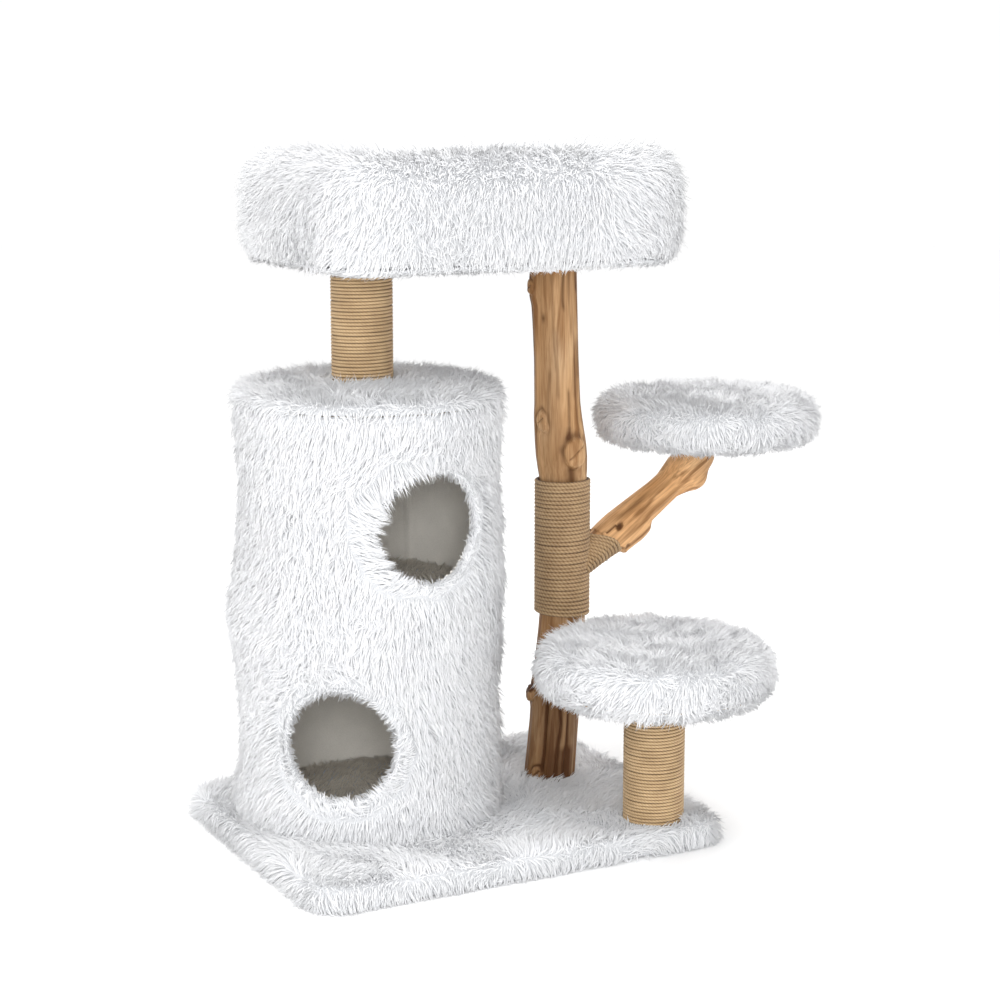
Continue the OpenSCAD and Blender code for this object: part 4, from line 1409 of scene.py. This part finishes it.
def make_bed():
    length, width = plan("bed_rim")
    corner, rim_w = 92 * MM, 88 * MM
    board_low, board_top = heights("bed_board")
    bottom, top = board_low - 1.5 * MM, heights("bed_rim")[1] - PILE
    half_h = (top - bottom) / 2
    mid_z = (top + bottom) / 2
    edge = 46 * MM
    rings = [(120 * MM, bottom), (70 * MM, bottom), (28 * MM, bottom), (21 * MM, bottom + 0.6 * MM),
             (17 * MM, bottom + 4 * MM), (14 * MM, bottom + 11 * MM), (11 * MM, bottom + 23 * MM),
             (PILE, bottom + 40 * MM), (PILE - 1.5 * MM, mid_z)]
    rings += [(PILE + edge - edge * math.cos(a), top - edge + edge * math.sin(a))
              for a in np.linspace(0, math.pi / 2, 7)]
    inner = rim_w - PILE
    rings += [(inner - 30 * MM + 30 * MM * math.sin(a), top - 30 * MM + 30 * MM * math.cos(a))
              for a in np.linspace(0.2, math.pi / 2, 6)]
    rings += [(inner, board_top + 40 * MM), (inner + 2 * MM, board_top + 4 * MM),
              (inner + 40 * MM, board_top + 2 * MM)]
    rim = slab_skin("bed_rim_pad", length, width, corner, rings, BED, 10 * MM)

    def in_nest(p, gap):
        return ((np.abs(p[:, 0] - BED[0]) < length / 2 - rim_w - gap)
                & (np.abs(p[:, 1] - BED[1]) < width / 2 - rim_w - gap))

    puff(rim, 6 * MM, 3 * MM, lambda p: (p[:, 2] < bottom + 16 * MM) | in_nest(p, 4 * MM))
    co = points_of(rim.data)
    upper = part((co[:, 2] - mid_z) / half_h)
    sagging = np.hypot((co[:, 0] - BED[0] - 20 * MM) / (95 * MM),
                       (co[:, 1] - BED[1] - 150 * MM) / (95 * MM))
    co[:, 2] += (soft_noise(co, 130 * MM, 121) * 2.5 * MM - 7 * MM * np.exp(-sagging ** 2)) * upper
    set_points(rim.data, co)
    add_piece(rim, backing_material(), "plush", "bed_rim")

    points, normals = scatter(rim, 3.2 * MM, 123, lambda p, n: (
        ~(in_nest(p, 2 * MM) & (p[:, 2] < board_top + 25 * MM)) & (p[:, 2] > bottom + 2 * MM)))
    below = part((bottom + 36 * MM - points[:, 2]) / (36 * MM))
    side = 1 - part(np.abs(normals[:, 2]))
    away = outward_from(points, BED)
    ends = part((np.abs(points[:, 0] - BED[0]) - 150 * MM) / (90 * MM))
    comb = (away * (0.6 - 0.5 * below)[:, None] + 0.38 * soft_vectors(points, 95 * MM, 125)
            - UP * (0.9 * side + 0.7 * below * (1 - 0.8 * ends))[:, None])
    length = 23 * MM - (4 + 4 * ends) * MM * below
    fur("bed_fur", points, normals, comb, length, 54 - 4 * below, seed=127)
    make_underside()
    make_cushion(board_top)


def make_underside():
    """The plush skin under the bed's board, cut round the post and the trunk."""
    length, width = plan("bed_underside")
    low, high = heights("bed_underside")
    rings = [(44 * MM, low + 1.4 * MM), (20 * MM, low + 0.8 * MM), (7 * MM, low + 0.8 * MM),
             (2 * MM, low + 2 * MM), (0.0, low + 5 * MM), (2 * MM, high - 1.8 * MM)]
    cover = slab_skin("bed_bottom_cover", length, width, 72 * MM, rings, BED, 7 * MM)
    holes = ((UPPER_POST, POST_R + 1.5 * MM), (TRUNK_HEAD, 35 * MM))
    for centre, radius in holes:
        cut_hole(cover, centre + UP * low, radius)
    add_piece(cover, backing_material(), "plush", "bed_underside")
    points, normals = scatter(cover, 3.6 * MM, 141, lambda p, n: (
        (n[:, 2] < -0.2) & clear_of(p, *holes[0]) & clear_of(p, *holes[1])))
    comb = soft_vectors(points, 70 * MM, 143) + 0.3 * outward_from(points, BED)
    fur("bed_bottom_fur", points, normals, comb, 13 * MM, 62.0, seed=147)


def make_cushion(board_top):
    length, width = (side - 10 * MM for side in plan("bed_cushion"))
    bottom, top = board_top + 3 * MM, heights("bed_cushion")[1] - 7 * MM
    rings = [(40 * MM, bottom), (8 * MM, bottom), (1 * MM, bottom + 8 * MM),
             (0.0, bottom + 14 * MM), (2 * MM, top - 8 * MM), (12 * MM, top - 2 * MM),
             (40 * MM, top), (70 * MM, top + 1 * MM)]
    cushion = slab_skin("nest_cushion", length, width, 38 * MM, rings, BED)
    puff(cushion, 6 * MM, 6 * MM, lambda p: p[:, 2] < bottom + 2 * MM)
    add_piece(cushion, backing_material(), "mat", "bed_cushion")
    points, normals = scatter(cushion, 4.4 * MM, 131, lambda p, n: n[:, 2] > 0.1)
    comb = soft_vectors(points, 60 * MM, 133)
    fur("nest_cushion_fur", points, normals, comb, 13 * MM, 45.0, slot="mat", width=1.4 * MM,
        seed=137)


# ---- the CAD nodes that stay ----

CARRIED = {
    board_material: (
        "base_board", "condo_floor", "condo_mid_floor", "lid_board", "lower_post_plugs",
        "upper_post_plugs", "lower_perch_board", "upper_perch_board", "bed_board"),
    cardboard_material: ("condo_tube", "lower_post_core", "upper_post_core"),
}
HARDWARE = {
    (0.62, 0.63, 0.65): ("post_bolts", "post_washers", "trunk_lags", "branch_bolt"),
    (0.66, 0.62, 0.48): ("tube_screws", "floor_screws", "upper_perch_screws"),
}


def paint_carried():
    for make, names in CARRIED.items():
        for name in names:
            paint(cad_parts[name], make())
    for tint, names in HARDWARE.items():
        for name in names:
            paint(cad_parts[name], zinc_material(tint))


bpy.context.scene.view_settings.view_transform = "Standard"
make_camera()
make_lights()
make_floor()
paint_carried()
make_base()
make_base_felt()
make_sleeve()
for side, door_place in zip(("lower", "upper"), DOORS):
    make_door_ring(f"{side}_door_roll", door_place, f"{side}_door_ring")
make_lid()
for room in ("lower_room", "upper_room"):
    make_room_felt(room)
    make_room_mat(room)
make_posts()
make_wraps()
make_trunk()
make_branch()
make_perch("lower", LOWER_PERCH, LOWER_POST, POST_R + 1 * MM)
make_perch("upper", UPPER_PERCH, UPPER_PERCH - [10 * MM, 0, 0], 34 * MM)
make_bed()
